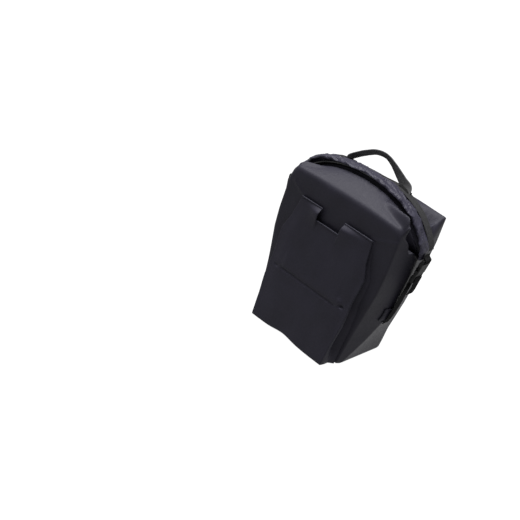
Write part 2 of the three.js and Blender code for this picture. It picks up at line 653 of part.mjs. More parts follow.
// The latch: a blade that leans out under the rack tube, a barrel on the pin, and a finger tab below.
function latch(x) {
  const { y, z, barrel, wide, pin, lean, blade } = LATCH;
  const up = [Math.sin(lean), Math.cos(lean)];
  const place = (along, across) => [y + up[0] * along + up[1] * across, z + up[1] * along - up[0] * across];
  const edge = [[0, -1.5], [blade - 3, -1.5], [blade, 0.4], [blade - 1, 1.5], [0, 1.5]];
  const tab = [[-1.6, 0], [-3.4, -20], [-6, -28], [-3, -28], [0, -20], [1.8, 0]];
  const bladeShape = polygon(edge.map(([along, across]) => place(along, across)));
  const tabShape = polygon(tab.map(([dy, dz]) => [y + dy, z + dz]));
  const round = solid(bar(barrel, wide, "x", [x, y, z], 18));
  const bore = solid(bar(pin + 0.3, wide * 2, "x", [x, y, z]));
  const springRoom = solid(bar(barrel + 1.6, 5, "x", [x + wide / 2, y, z], 18));
  const pieces = [bladeShape, tabShape].map((shape) => solid(acrossX(shape, wide, x)));
  return geometryOf(pieces.reduce((made, p) => made.add(p), round).subtract(bore).subtract(springRoom));
}

// A torsion spring of two turns round the latch's pin.
class Helix extends THREE.Curve {
  constructor(x, radius, length, turns) {
    super();
    Object.assign(this, { x, radius, length, turns });
  }
  getPoint(t) {
    const angle = t * this.turns * Math.PI * 2;
    const [y, z] = [this.radius * Math.cos(angle), this.radius * Math.sin(angle)];
    return v3(this.x + t * this.length, LATCH.y + y, LATCH.z + z);
  }
}

const SPRING = { wire: 0.4, radius: 2.7, turns: 2, length: 1.9 };
function latchSpring(x) {
  const wire = new THREE.Shape().absarc(0, 0, SPRING.wire, 0, Math.PI * 2);
  const path = new Helix(x + LATCH.wide / 2 - SPRING.length, SPRING.radius, SPRING.length, SPRING.turns);
  return new THREE.ExtrudeGeometry(wire, { steps: 24, extrudePath: path, curveSegments: 3 });
}

// A rubber insert that lines the throat so that the hook grips without rattling.
const INSERT = { margin: 0.3, thick: 1.4, crown: 2, deep: 15 };
function hookInsert(x) {
  const { plate, throat, seat, wide } = HOOK;
  const { margin, thick, crown, deep } = INSERT;
  const [low, high, foot] = [plate + margin, plate + throat - margin, seat - deep];
  const section = polygon([
    [low, foot], [low + thick, foot], [low + thick, seat - crown], [high - thick, seat - crown],
    [high - thick, foot], [high, foot], [high, seat - margin], [low, seat - margin],
  ]);
  return acrossX(section, wide - 6, x);
}

function hookPieces(x, name) {
  return [
    part(`${name}_hook`, "nylon", hookBody(x)),
    part(`${name}_hook_insert`, "rubber", hookInsert(x)),
    part(`${name}_latch`, "nylon", latch(x)),
    part(`${name}_latch_pin`, "steel", bar(LATCH.pin, HOOK.wide - 0.6, "x", [x, LATCH.y, LATCH.z])),
    part(`${name}_latch_spring`, "steel", latchSpring(x)),
  ];
}

// The lower hook: a slider on the short rail, and an arm that swivels on it and catches a rack strut.
const LOWER = { x: 20, wide: 34, sliderOut: 11, arm: 4, half: 8, round: 11, reach: 44, lip: 19, catch: 18 };
function lowerSlider() {
  const { z, head, neckOut, neck, out } = LOWER_RAIL;
  const lip = neck + CLEAR + 0.2;
  const [edge, room] = [head + 4, head + CLEAR];
  const section = polygon([
    [LOWER.sliderOut, z - edge], [LOWER.sliderOut, z + edge], [NEAR, z + edge], [NEAR, z + lip],
    [neckOut - CLEAR, z + lip], [neckOut - CLEAR, z + room], [out + CLEAR, z + room],
    [out + CLEAR, z - room], [neckOut - CLEAR, z - room], [neckOut - CLEAR, z - lip],
    [NEAR, z - lip], [NEAR, z - edge],
  ]);
  const boss = bar(5, 8, "y", [LOWER.x, LOWER.sliderOut + 1, z], 20);
  const hole = bar(2.3, 12, "y", [LOWER.x, LOWER.sliderOut + 3, z]);
  return geometryOf(solid(acrossX(section, LOWER.wide, LOWER.x)).add(solid(boss)).subtract(solid(hole)));
}

function lowerHook() {
  const { x, sliderOut, arm, half, round, reach, lip } = LOWER;
  const { z } = LOWER_RAIL;
  const y = sliderOut + GAP;
  const outline = new THREE.Shape();
  const start = Math.acos(half / round) / 3;
  outline.absarc(x, z, round, start, Math.PI - start, true);
  outline.lineTo(x - half, z + reach).lineTo(x + half, z + reach);
  const plate = solid(acrossY(outline, arm, y, 12));
  const shelf = solid(block([x - half, y, z + reach - 5], [x + half, y + lip, z + reach]));
  const catchLow = [x - half, y + lip - 4, z + reach - LOWER.catch];
  const catchLip = solid(block(catchLow, [x + half, y + lip, z + reach]));
  const eye = solid(bar(5.4, 20, "y", [x, y, z], 20));
  return geometryOf(plate.add(shelf).add(catchLip).subtract(eye));
}

function lowerScrew() {
  const y = LOWER.sliderOut;
  const shank = solid(bar(2, 8.6, "y", [LOWER.x, y + 2, LOWER_RAIL.z]));
  const head = solid(bar(8, 2.4, "y", [LOWER.x, y + 6.8, LOWER_RAIL.z], 20));
  return geometryOf(shank.add(head));
}

// A stiff plastic sheet inside the bag, against the back panel.
const BOARD = { low: 20, top: BACK_TOP - 8, margin: 9, thick: 2.2, cornerDrop: 34, cornerFrom: 0.7 };
function backBoard() {
  const { low, top, margin, thick, cornerDrop, cornerFrom } = BOARD;
  const face = (inset) => (u, v) => {
    const out = (Math.abs(u * 2 - 1) - cornerFrom) / (1 - cornerFrom);
    const z = lerp(low, top - cornerDrop * Math.max(0, out) ** 2, v);
    const half = along(BACK_EDGE, z) - margin;
    return v3(lerp(-half, half, u), -FABRIC - GAP - inset, z);
  };
  return drilled(sheet(20, 8, face(0), face(thick)));
}

// ---------------------------------------------------------------- the whole bag
function bag() {
  const group = new THREE.Group();
  const shoulderTop = () => SHOULDER;
  const backTop = () => BACK_TOP;
  group.add(
    part("front_panel", "tarpaulin", wallPanel(-1 + EDGE, 1 - EDGE, 8, 8, shoulderTop)),
    part("right_gusset", "tarpaulin", wallPanel(1 + EDGE, 2 - EDGE, 8, 10, gussetTop)),
    part("left_gusset", "tarpaulin", wallPanel(4 + EDGE, 5 - EDGE, 8, 10, gussetTop)),
    part("back_panel", "tarpaulin", drilled(wallPanel(2 + EDGE, 4 - EDGE, 8, 8, backTop))),
    part("base_tray", "tarpaulin", baseTray()),
    part("back_board", "board", backBoard()),
    part("pocket_panel", "tarpaulin", pocketPanel()),
    part("right_pocket_wall", "tarpaulin", pocketWall(1)),
    part("left_pocket_wall", "tarpaulin", pocketWall(-1)),
    part("pocket_floor", "tarpaulin", pocketFloor()),
    part("front_collar", "tarpaulin", collar(FRONT_COLLAR)),
    part("back_collar", "tarpaulin", collar(BACK_COLLAR)),
    part("roll_closure", "tarpaulin", rollClosure()),
    part("roll_stiffener", "board", rollStiffener()),
    part("closure_band", "webbing", closureBand()),
    part("carry_handle", "webbing", carryHandle()),
  );
  for (const [side, name] of [[1, "right"], [-1, "left"]])
    group.add(part(`${name}_handle_tab`, "webbing", handleTab(HANDLE[name])), sidePieces(side, name));
  return group;
}

function rackHardware() {
  const group = new THREE.Group();
  group.add(
    part("top_rail", "aluminium", drilledRail(RAIL, RAIL_SCREWS)),
    part("left_rail_cap", "nylon", endCap(-1)),
    part("right_rail_cap", "nylon", endCap(1)),
    part("lower_rail", "aluminium", drilledRail(LOWER_RAIL, LOWER_SCREWS)),
    part("lower_slider", "nylon", lowerSlider()),
    part("lower_hook", "nylon", lowerHook()),
    part("lower_hook_screw", "steel", lowerScrew()),
    ...hookPieces(HOOK.x, "right"),
    ...hookPieces(-HOOK.x, "left"),
  );
  const screws = [["rail_screw", RAIL, RAIL_SCREWS], ["lower_rail_screw", LOWER_RAIL, LOWER_SCREWS]];
  for (const [name, rail, shares] of screws)
    shares.forEach((share, i) => group.add(part(`${name}_${i + 1}`, "steel", railScrew(rail, share))));
  return group;
}

const pannier = new THREE.Group();
pannier.name = "pannier";
pannier.add(bag(), rackHardware());
pannier.position.y = BACK_TO_ORIGIN;

export default pannier;
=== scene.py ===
import json
import math

import bmesh
import bpy
import numpy as np
from mathutils import Matrix, Vector, noise


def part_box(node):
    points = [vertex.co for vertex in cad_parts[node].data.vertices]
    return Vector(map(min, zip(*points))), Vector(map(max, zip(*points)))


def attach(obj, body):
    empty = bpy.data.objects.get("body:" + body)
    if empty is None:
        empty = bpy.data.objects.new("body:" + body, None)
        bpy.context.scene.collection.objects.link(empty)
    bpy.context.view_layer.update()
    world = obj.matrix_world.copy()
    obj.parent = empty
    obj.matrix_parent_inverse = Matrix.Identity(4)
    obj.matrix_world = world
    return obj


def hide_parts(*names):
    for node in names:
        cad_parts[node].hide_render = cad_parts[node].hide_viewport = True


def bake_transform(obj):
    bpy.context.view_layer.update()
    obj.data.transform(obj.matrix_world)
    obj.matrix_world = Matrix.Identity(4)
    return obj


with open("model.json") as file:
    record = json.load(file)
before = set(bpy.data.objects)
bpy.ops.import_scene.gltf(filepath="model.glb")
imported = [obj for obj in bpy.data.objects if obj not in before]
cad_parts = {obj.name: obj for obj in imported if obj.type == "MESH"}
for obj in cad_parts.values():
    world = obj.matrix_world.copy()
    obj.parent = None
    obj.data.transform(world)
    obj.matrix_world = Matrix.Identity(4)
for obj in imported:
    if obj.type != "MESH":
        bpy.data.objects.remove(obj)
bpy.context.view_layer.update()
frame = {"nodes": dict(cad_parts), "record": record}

MM = 0.001
ALONG_Y = np.array([0.0, 1.0, 0.0])

# ---------------------------------------------------------------- sizes, from the frame
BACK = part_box("back_panel")[1].y / MM  # the back panel's outer face in the row frame
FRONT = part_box("front_panel")[0].y / MM - BACK
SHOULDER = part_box("front_panel")[1].z / MM  # the crease between the front and the sloping top
BACK_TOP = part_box("back_panel")[1].z / MM
BOTTOM_ROUND = 8.0  # radius of the fabric's edge round the base
RIDGE_Y = -82.0  # the side's ridge, the straps and the roll all lie in this plane
VALLEY = 304.0  # height where each side dips under the end of the roll
FABRIC = 1.6  # thickness of the coated fabric

# Half widths of the bag at a few heights, and where the side's ridge runs.
FRONT_EDGE = [(0, 127), (100, 138), (165, 147), (214, 155), (268, 158), (330, 158), (391, 155)]
SIDE_RIDGE = [(0, 132), (70, 152), (150, 170), (260, 177), (320, 179), (391, 175)]
BACK_EDGE = [(0, 140), (70, 145), (150, 156), (260, 166), (320, 169), (391, 168)]
RIDGE_DEPTH = [(0, -150), (150, RIDGE_Y), (391, RIDGE_Y)]


def place(points):
    """Points of the bag's frame, in millimetres, as metres in the row frame."""
    return (np.asarray(points, float) + (0.0, BACK, 0.0)) * MM


def along(pairs, x):
    """The value at x of a line through a few (x, value) pairs."""
    return np.interp(x, [p[0] for p in pairs], [p[1] for p in pairs])


def smooth(x, low, high):
    """0 below low, 1 above high, and a smooth step between them."""
    t = np.clip((np.asarray(x, float) - low) / (high - low), 0.0, 1.0)
    return t * t * (3.0 - 2.0 * t)


def bump(x, middle, width):
    """A smooth hump, 1 at its middle."""
    return np.exp(-(((np.asarray(x, float) - middle) / width) ** 2))


def lerp(a, b, t):
    """The value a share t of the way from a to b."""
    return a + (b - a) * t


def waver(points, size, seed=0.0):
    """Smooth noise from -1 to 1 at each point, with features about as wide as size."""
    flat = np.asarray(points, float).reshape(-1, 3) / size + seed
    return np.array([noise.noise(p) for p in flat.tolist()]).reshape(np.shape(points)[:-1])


def unit(vectors):
    """The vectors with a length of 1."""
    length = np.linalg.norm(vectors, axis=-1, keepdims=True)
    return vectors / np.maximum(length, 1e-9)


def smooth_line(points, count):
    """A centripetal Catmull-Rom curve through the points, as count points evenly along its length."""
    p = np.asarray(points, float)
    p = np.vstack([2 * p[0] - p[1], p, 2 * p[-1] - p[-2]])
    fine = []
    for p0, p1, p2, p3 in zip(p, p[1:], p[2:], p[3:]):
        t1 = np.linalg.norm(p1 - p0) ** 0.5
        t2 = t1 + np.linalg.norm(p2 - p1) ** 0.5
        t3 = t2 + np.linalg.norm(p3 - p2) ** 0.5
        t = np.linspace(t1, t2, 40, endpoint=False)[:, None]
        a1 = ((t1 - t) * p0 + t * p1) / t1
        a2 = ((t2 - t) * p1 + (t - t1) * p2) / (t2 - t1)
        a3 = ((t3 - t) * p2 + (t - t2) * p3) / (t3 - t2)
        b1 = ((t2 - t) * a1 + t * a2) / t2
        b2 = ((t3 - t) * a2 + (t - t1) * a3) / (t3 - t1)
        fine.append(((t2 - t) * b1 + (t - t1) * b2) / (t2 - t1))
    fine = np.vstack(fine + [p[-2:-1]])
    reach = np.concatenate([[0.0], np.cumsum(np.linalg.norm(np.diff(fine, axis=0), axis=1))])
    even = np.linspace(0.0, reach[-1], count)
    return np.stack([np.interp(even, reach, fine[:, i]) for i in range(p.shape[1])], axis=1)


# ---------------------------------------------------------------- materials
def node(tree, kind, inputs=None, **settings):
    """A shader node with its settings, and its inputs as values or as sockets to link from."""
    made = tree.nodes.new(kind)
    for name, value in settings.items():
        setattr(made, name, value)
    for name, value in (inputs or {}).items():
        if isinstance(value, bpy.types.NodeSocket):
            tree.links.new(value, made.inputs[name])
        else:
            made.inputs[name].default_value = value
    return made


def new_material(name, settings):
    """A material, its node tree and its shader, with constant values on the shader's own sockets."""
    made = bpy.data.materials.new(name)
    made.use_nodes = True
    shader = made.node_tree.nodes["Principled BSDF"]
    for socket, value in settings.items():
        shader.inputs[socket].default_value = value
    return made, made.node_tree, shader


def millimetres(tree):
    """The object's own coordinates, in millimetres."""
    coordinates = node(tree, "ShaderNodeTexCoord").outputs["Object"]
    return node(tree, "ShaderNodeVectorMath", {0: coordinates, "Scale": 1 / MM}, operation="SCALE").outputs[0]


def cloudy(tree, vector, size, detail=3.0, roughness=0.5):
    """Noise whose features are about size millimetres wide."""
    inputs = {"Vector": vector, "Scale": 1.0 / size, "Detail": detail, "Roughness": roughness}
    return node(tree, "ShaderNodeTexNoise", inputs).outputs["Fac"]


def ramp(tree, factor, low, high, start=0.3, end=0.7):
    """A factor turned into a range of colours or greys."""
    made = node(tree, "ShaderNodeMapRange", {"Value": factor, "From Min": start, "From Max": end})
    made.clamp = True
    if isinstance(low, tuple):
        mix = node(tree, "ShaderNodeMix", {0: made.outputs[0]}, data_type="RGBA")
        mix.inputs[6].default_value = low
        mix.inputs[7].default_value = high
        return mix.outputs[2]
    made.inputs["To Min"].default_value = low
    made.inputs["To Max"].default_value = high
    return made.outputs[0]


def bumps(tree, shader, layers):
    """Bump from several (height socket, depth in millimetres) layers, one on the other."""
    normal = None
    for height, depth in layers:
        inputs = {"Height": height, "Distance": depth * MM, "Strength": 1.0}
        if normal is not None:
            inputs["Normal"] = normal
        normal = node(tree, "ShaderNodeBump", inputs).outputs["Normal"]
    tree.links.new(normal, shader.inputs["Normal"])


def grey(value, blue=0.0):
    """A dark neutral colour with a little blue-violet in it."""
    return (value * (1.0 - blue * 0.1), value * (1.0 - blue * 0.25), value * (1.0 + blue), 1.0)


def coated_fabric(name, tone, roughness, dust_and_top_light=0.52):
    """Matt coated fabric: a weave under its coating, creases, cloudy tones, and a paler tone painted on faces
    that turn upwards, standing in for the light from overhead.
    """
    made, tree, shader = new_material(name, {"IOR": 1.2})
    place_mm = millimetres(tree)
    tones = cloudy(tree, place_mm, 70.0, 4.0, 0.6)
    scuffs = cloudy(tree, place_mm, 5.0, 6.0, 0.7)
    colour = ramp(tree, tones, grey(tone * 0.9, 0.36), grey(tone * 1.12, 0.4))
    worn = ramp(tree, scuffs, 0.0, 0.35, 0.62, 0.8)
    pale = {0: worn, 6: colour, 7: grey(tone * 1.5, 0.3)}
    mix = node(tree, "ShaderNodeMix", pale, data_type="RGBA")
    # Painted light: faces that turn upwards are painted up to three times paler, as if lit from overhead; the
    # last argument sets how far.
    upright = node(tree, "ShaderNodeNewGeometry").outputs["Normal"]
    upwards = node(tree, "ShaderNodeSeparateXYZ", {0: upright}).outputs["Z"]
    top_light_mask = ramp(tree, upwards, 0.0, dust_and_top_light, 0.25, 0.75)
    top_light_inputs = {0: top_light_mask, 6: mix.outputs[2], 7: grey(tone * 3.0, 0.3)}
    top_lit_colour = node(tree, "ShaderNodeMix", top_light_inputs, data_type="RGBA")
    tree.links.new(top_lit_colour.outputs[2], shader.inputs["Base Color"])
    tree.links.new(ramp(tree, scuffs, roughness - 0.05, roughness + 0.07), shader.inputs["Roughness"])
    weave = 0.0
    for direction in "XYZ":
        inputs = {"Vector": place_mm, "Scale": 0.35}
        wave = node(tree, "ShaderNodeTexWave", inputs, bands_direction=direction).outputs["Fac"]
        weave = node(tree, "ShaderNodeMath", {0: wave, 1: weave}, operation="ADD").outputs[0]
    grain = cloudy(tree, place_mm, 0.7, 2.0)
    creases = cloudy(tree, place_mm, 16.0, 4.0, 0.55)
    bumps(tree, shader, [(creases, 0.5), (weave, 0.02), (grain, 0.05)])
    return made


def woven_webbing(name, tone):
    """Ribbed webbing: ribs across it and rows of yarn along it, from the piece's strip coordinates."""
    made, tree, shader = new_material(name, {"IOR": 1.3, "Specular IOR Level": 0.0})
    strip = node(tree, "ShaderNodeAttribute", attribute_name="strip").outputs["Vector"]
    waves = []
    for direction, often, wobble in (("X", 0.16, 0.4), ("Y", 0.24, 0.3)):
        inputs = {"Vector": strip, "Scale": often, "Distortion": wobble}
        waves.append(node(tree, "ShaderNodeTexWave", inputs, bands_direction=direction).outputs["Fac"])
    yarn = node(tree, "ShaderNodeMath", {0: waves[0], 1: waves[1]}, operation="MULTIPLY").outputs[0]
    place_mm = millimetres(tree)
    fuzz = cloudy(tree, place_mm, 0.6, 3.0)
    shade = cloudy(tree, place_mm, 12.0, 4.0)
    colour = ramp(tree, shade, grey(tone * 0.85, 0.05), grey(tone * 1.15, 0.08))
    raised = ramp(tree, yarn, 0.0, 1.0, 0.0, 0.9)
    shaded = node(tree, "ShaderNodeMix", {0: raised, 6: grey(tone * 0.5), 7: colour}, data_type="RGBA")
    tree.links.new(shaded.outputs[2], shader.inputs["Base Color"])
    tree.links.new(ramp(tree, fuzz, 0.75, 0.95), shader.inputs["Roughness"])
    bumps(tree, shader, [(yarn, 0.22), (fuzz, 0.08)])
    return made


def moulded_nylon(name, tone):
    """Moulded nylon: fine spark texture, a little sheen and faint flow marks."""
    made, tree, shader = new_material(name, {"Specular IOR Level": 0.1})
    place_mm = millimetres(tree)
    grain = cloudy(tree, place_mm, 0.35, 2.0)
    flow = cloudy(tree, place_mm, 9.0, 3.0)
    tree.links.new(ramp(tree, flow, grey(tone * 0.85), grey(tone * 1.2, 0.05)), shader.inputs["Base Color"])
    tree.links.new(ramp(tree, grain, 0.5, 0.66), shader.inputs["Roughness"])
    bumps(tree, shader, [(grain, 0.04), (flow, 0.08)])
    return made


def metal(name, tone, roughness, stretch):
    """Drawn or turned metal: fine lines along it, from noise stretched by the three factors."""
    made, tree, shader = new_material(name, {"Metallic": 1.0})
    inputs = {0: millimetres(tree), 1: stretch}
    lines = node(tree, "ShaderNodeVectorMath", inputs, operation="MULTIPLY").outputs[0]
    streaks = cloudy(tree, lines, 1.0, 4.0, 0.6)
    tree.links.new(ramp(tree, streaks, grey(tone * 0.9), grey(tone * 1.05)), shader.inputs["Base Color"])
    tree.links.new(ramp(tree, streaks, roughness * 0.8, roughness * 1.25), shader.inputs["Roughness"])
    bumps(tree, shader, [(streaks, 0.03)])
    return made


def plain_rubber(name, tone):
    """Soft rubber with a powdery, slightly pitted face."""
    made, tree, shader = new_material(name, {"Specular IOR Level": 0.3})
    place_mm = millimetres(tree)
    # Pale patches of dust on the rubber, which are also rougher.
    dust_and_top_light = cloudy(tree, place_mm, 3.0, 5.0, 0.6)
    tree.links.new(ramp(tree, dust_and_top_light, grey(tone * 0.8), grey(tone * 1.3)), shader.inputs["Base Color"])
    tree.links.new(ramp(tree, dust_and_top_light, 0.8, 0.95), shader.inputs["Roughness"])
    bumps(tree, shader, [(cloudy(tree, place_mm, 0.8, 2.0), 0.08)])
    return made


def pressed_board(name, tone):
    """Stiff sheet plastic with a pebbled face."""
    made, tree, shader = new_material(name, {"Specular IOR Level": 0.4})
    place_mm = millimetres(tree)
    pebbles = node(tree, "ShaderNodeTexVoronoi", {"Vector": place_mm, "Scale": 0.5}).outputs["Distance"]
    colour = ramp(tree, cloudy(tree, place_mm, 30.0), grey(tone * 0.9), grey(tone * 1.1))
    tree.links.new(colour, shader.inputs["Base Color"])
    tree.links.new(ramp(tree, pebbles, 0.45, 0.65), shader.inputs["Roughness"])
    bumps(tree, shader, [(pebbles, 0.12)])
    return made


FINISHES = {
    "tarpaulin": coated_fabric("tarpaulin", 0.0098, 0.5),
    "webbing": woven_webbing("webbing", 0.018),
    "nylon": moulded_nylon("nylon", 0.008),
    "aluminium": metal("aluminium", 0.42, 0.34, (0.08, 2.0, 2.0)),
    "steel": metal("steel", 0.55, 0.28, (2.0, 0.3, 2.0)),
    "rubber": plain_rubber("rubber", 0.018),
    "board": pressed_board("board", 0.03),
}
# Finishes of single pieces, which differ in tone from the rest of their slot. The roll's and the handle's are
# paler copies, painted to stand in for the light on them, and the near-black one in the roll's undercut is
# painted shade.
# Painted light: the rolled cloth is the bag's own tarpaulin, painted nearly twice as pale to stand in for the
# light on its top.
ROLL_LIT_FABRIC = coated_fabric("roll_lit_fabric", 0.018, 0.4, 0.25)
# Painted shade: a near-black sheet that keeps the gap under the roll black.
PAINTED_SHADE = coated_fabric("painted_shade", 0.002, 0.9, 0.0)
POCKET_FABRIC = coated_fabric("pocket_fabric", 0.0114, 0.56)
# Painted light: the handle is the straps' webbing painted about six times paler, to stand in for the light on
# it.
HANDLE_LIT_WEBBING = woven_webbing("handle_lit_webbing", 0.11)
BAND_WEBBING = woven_webbing("band_webbing", 0.045)


# ---------------------------------------------------------------- mesh helpers
def normals_of(grid, wrap=False):
    """Unit normals of a grid of points, rows by columns."""
    if wrap:
        du = np.roll(grid, -1, axis=1) - np.roll(grid, 1, axis=1)
    else:
        du = np.gradient(grid, axis=1)
    dv = np.gradient(grid, axis=0)
    return unit(np.cross(du, dv))


def relax(grid, share, rounds, wrap=False):
    """Rounds a grid's creases: each point moves by its share towards the middle of its four neighbours."""
    grid = grid.copy()
    share = np.asarray(share, float)
    share = share[..., None] if share.ndim else share
    for _ in range(rounds):
        if wrap:
            beside = (np.roll(grid, 1, axis=1) + np.roll(grid, -1, axis=1)) / 2
        else:
            wide = np.concatenate([grid[:, :1], grid, grid[:, -1:]], axis=1)
            beside = (wide[:, :-2] + wide[:, 2:]) / 2
        tall = np.concatenate([grid[:1], grid, grid[-1:]], axis=0)
        above = (tall[:-2] + tall[2:]) / 2
        moved = grid + share * ((beside + above) / 2 - grid)
        moved[0], moved[-1] = grid[0], grid[-1]
        grid = moved
    return grid


def grid_faces(rows, columns, wrap=False, keep=None):
    """Quads of a grid stored row by row; keep says which cells stay."""
    faces = []
    for i in range(rows - 1):
        for j in range(columns if wrap else columns - 1):
            k = (j + 1) % columns
            if keep is None or keep[i, j]:
                faces.append((i * columns + j, i * columns + k, (i + 1) * columns + k, (i + 1) * columns + j))
    return faces


def piece(name, points, faces, slot, body="bag", finish=None, crease=35.0, outwards=True):
    """A named piece from points in the bag's frame. It rides on a body and takes its finish from a slot."""
    mesh = bpy.data.meshes.new(name)
    mesh.from_pydata(place(points).tolist(), [], faces)
    if outwards:
        shape = bmesh.new()
        shape.from_mesh(mesh)
        bmesh.ops.recalc_face_normals(shape, faces=shape.faces)
        shape.to_mesh(mesh)
        shape.free()
    mesh.polygons.foreach_set("use_smooth", [True] * len(mesh.polygons))
    mesh.set_sharp_from_angle(angle=math.radians(crease))
    mesh.materials.append(finish or FINISHES[slot])
    made = bpy.data.objects.new(name, mesh)
    bpy.context.scene.collection.objects.link(made)
    if body:
        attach(made, body)
    return made


def loft(rings):
    """Points and faces of a closed solid through a row of closed rings."""
    rings = np.asarray(rings)
    count, size = rings.shape[:2]
    faces = []
    for r in range(count - 1):
        for i in range(size):
            j = (i + 1) % size
            faces.append((r * size + i, r * size + j, (r + 1) * size + j, (r + 1) * size + i))
    faces.append(tuple(range(size))[::-1])
    faces.append(tuple((count - 1) * size + i for i in range(size)))
    return rings.reshape(-1, 3), faces


def thicken(made, thick, offset):
    """Gives a sheet its thickness: offset -1 grows it inwards, and 0 both ways."""
    solid = made.modifiers.new("thickness", "SOLIDIFY")
    solid.thickness = thick * MM
    solid.offset = offset


def flat_section(wide, thick, steps=12):
    """The outline of a webbing's section as (across, out) pairs, with rounded edges."""
    a, b = wide / 2 - thick / 2, thick / 2
    top = [(x, b) for x in np.linspace(-a, a, steps)]
    right = [(a + b * math.sin(t), b * math.cos(t)) for t in np.linspace(0, math.pi, 6)[1:-1]]
    return np.array(top + right + [(-x, -y) for x, y in top + right])


def webbing(name, path, across, wide, thick, body="bag", slot="webbing", rumple=0.15, **options):
    """Webbing along a path. across is the direction of its width at each point of the path."""
    path, across = np.asarray(path, float), unit(np.asarray(across, float))
    tangent = unit(np.gradient(path, axis=0))
    out = unit(np.cross(tangent, across))
    section = flat_section(wide, thick)
    reach = np.concatenate([[0.0], np.cumsum(np.linalg.norm(np.diff(path, axis=0), axis=1))])
    rings = path[:, None] + section[None, :, :1] * across[:, None] + section[None, :, 1:] * out[:, None]
    rings = rings + (waver(rings, 11.0, 3.0) * rumple)[..., None] * out[:, None]
    points, faces = loft(rings)
    made = piece(name, points, faces, slot, body, crease=50.0, **options)
    strip = np.zeros((len(points), 3))
    strip[:, 0] = np.tile(section[:, 0], len(path))
    strip[:, 1] = np.repeat(reach, len(section))
    store_strip(made, strip)
    return made


def store_strip(made, strip):
    """Keeps each point's place across and along the webbing for the weave."""
    attribute = made.data.attributes.new("strip", "FLOAT_VECTOR", "POINT")
    attribute.data.foreach_set("vector", np.asarray(strip, np.float32).ravel())


# ---------------------------------------------------------------- the bag's walls
def fold(turn):
    """A turn of 0 to 6 round the bag as 0 (front middle) to 3 (back middle), and the side it is on."""
    turn = np.mod(turn, 6.0)
    return np.where(turn <= 3.0, turn, 6.0 - turn), np.where(turn <= 3.0, 1.0, -1.0)


def wall(turn, z):
    """Points of the bag's flat-panelled wall: turn 1 is the front edge, 1.5 the ridge and 2 the back edge."""
    a, side = fold(turn)
    rise = np.minimum(z, BOTTOM_ROUND)
    depth = BOTTOM_ROUND - np.sqrt(BOTTOM_ROUND**2 - (BOTTOM_ROUND - rise) ** 2)
    front = np.stack([along(FRONT_EDGE, z) - depth * 0.7, FRONT + depth], axis=-1)
    ridge = np.stack([along(SIDE_RIDGE, z) - depth, along(RIDGE_DEPTH, z) + depth * 0.2], axis=-1)
    back = np.stack([along(BACK_EDGE, z) - depth, -depth], axis=-1)
    a = a[..., None]
    middle_front = np.concatenate([front[..., :1] * a, front[..., 1:]], axis=-1)
    middle_back = np.concatenate([back[..., :1] * (3 - a), back[..., 1:]], axis=-1)
    before_ridge = lerp(front, ridge, (a - 1) * 2)
    behind_ridge = lerp(ridge, back, (a - 1.5) * 2)
    xy = np.where(a <= 1, middle_front, np.where(a <= 1.5, before_ridge, behind_ridge))
    xy = np.where(a >= 2, middle_back, xy)
    return np.stack([side * xy[..., 0], xy[..., 1], np.broadcast_to(z, xy.shape[:-1])], axis=-1)


def wall_top(turn):
    """Height of the wall's upper edge: the shoulder in front, the valleys at the sides, and the back."""
    a, _ = fold(turn)
    return np.interp(a, [0, 1, 1.5, 2, 3], [SHOULDER, SHOULDER, VALLEY, BACK_TOP - 2, BACK_TOP])


# ---------------------------------------------------------------- the roll's line
ROLL_WIDE, ROLL_THICK = 38.0, 15.0
ROLL_RIGHT = [(0, 419), (46, 416), (92, 405), (132, 386), (162, 360), (180, 334), (186, 312)]
ROLL_STEPS = 260
ROLL_LINE = smooth_line([(-x, z) for x, z in ROLL_RIGHT[:0:-1]] + ROLL_RIGHT, ROLL_STEPS)
ROLL_TANGENT = unit(np.gradient(ROLL_LINE, axis=0))
ROLL_LENGTH = float(np.sum(np.linalg.norm(np.diff(ROLL_LINE, axis=0), axis=1)))


def roll_point(share, across, out):
    """A point beside the roll's middle line: across is along Y, out is away from the bag."""
    places = np.linspace(0.0, 1.0, ROLL_STEPS)
    inside = np.clip(share, 0.0, 1.0)
    beyond = (share - inside) * ROLL_LENGTH
    x, z = (np.interp(inside, places, ROLL_LINE[:, i]) for i in (0, 1))
    tx, tz = (np.interp(inside, places, ROLL_TANGENT[:, i]) for i in (0, 1))
    y = RIDGE_Y + across + 0.0 * inside
    return np.stack([x + beyond * tx - tz * out, y, z + beyond * tz + tx * out], axis=-1)


# ---------------------------------------------------------------- the shell
WELTS = [((-101, 324), (-140, 345)), ((98, 325), (156, 347))]  # raised seams, from (x, z) to (x, z)
WELT_HIGH, WELT_WIDE = 1.8, 3.2
FRONT_SHARE, BACK_SHARE = 0.6, 0.66  # shares of the half roll that the front and back edges run up to
MOUTH_SHARE = 0.485  # share of the roll's whole length that the mouth's fabric reaches from its middle
MOUTH_HALF = 16.0  # the fabric meets the roll this far before and behind its middle line
MOUTH_UNDER = -ROLL_THICK / 2 - 2.0  # and this far below it
SIDE_TUCK = 24.0  # depth of the fold pressed in under each end of the roll
BACK_DIP = 26.0  # how far the rear corners' tops sink towards the roll
WALL_ROWS, TOP_ROWS = 112, 40  # rows of points up the wall, and from its top to the roll
PANEL_CROWN = 2.5  # how far the front bulges
LEFT_REAR_SINK = 26.0  # the rear left corner is pressed down by this much
# Each ear is side, x where its crest starts, x of its tip, and height.
EARS = [(1.0, 72.0, 155.0, 27.0), (-1.0, 96.0, 150.0, 7.0)]
EAR_START_Y, EAR_TIP_Y = -115.0, -139.0  # y of an ear's crest at its start and at its tip
EAR_RISE, EAR_FALL = 13.0, 3.5  # how far before and behind the crest an ear slopes
EAR_OUT = 0.25  # how far an ear leans outwards, as a share of its lift
EAR_GAP_Y = -112.0  # y of the hollow between an ear and the roll


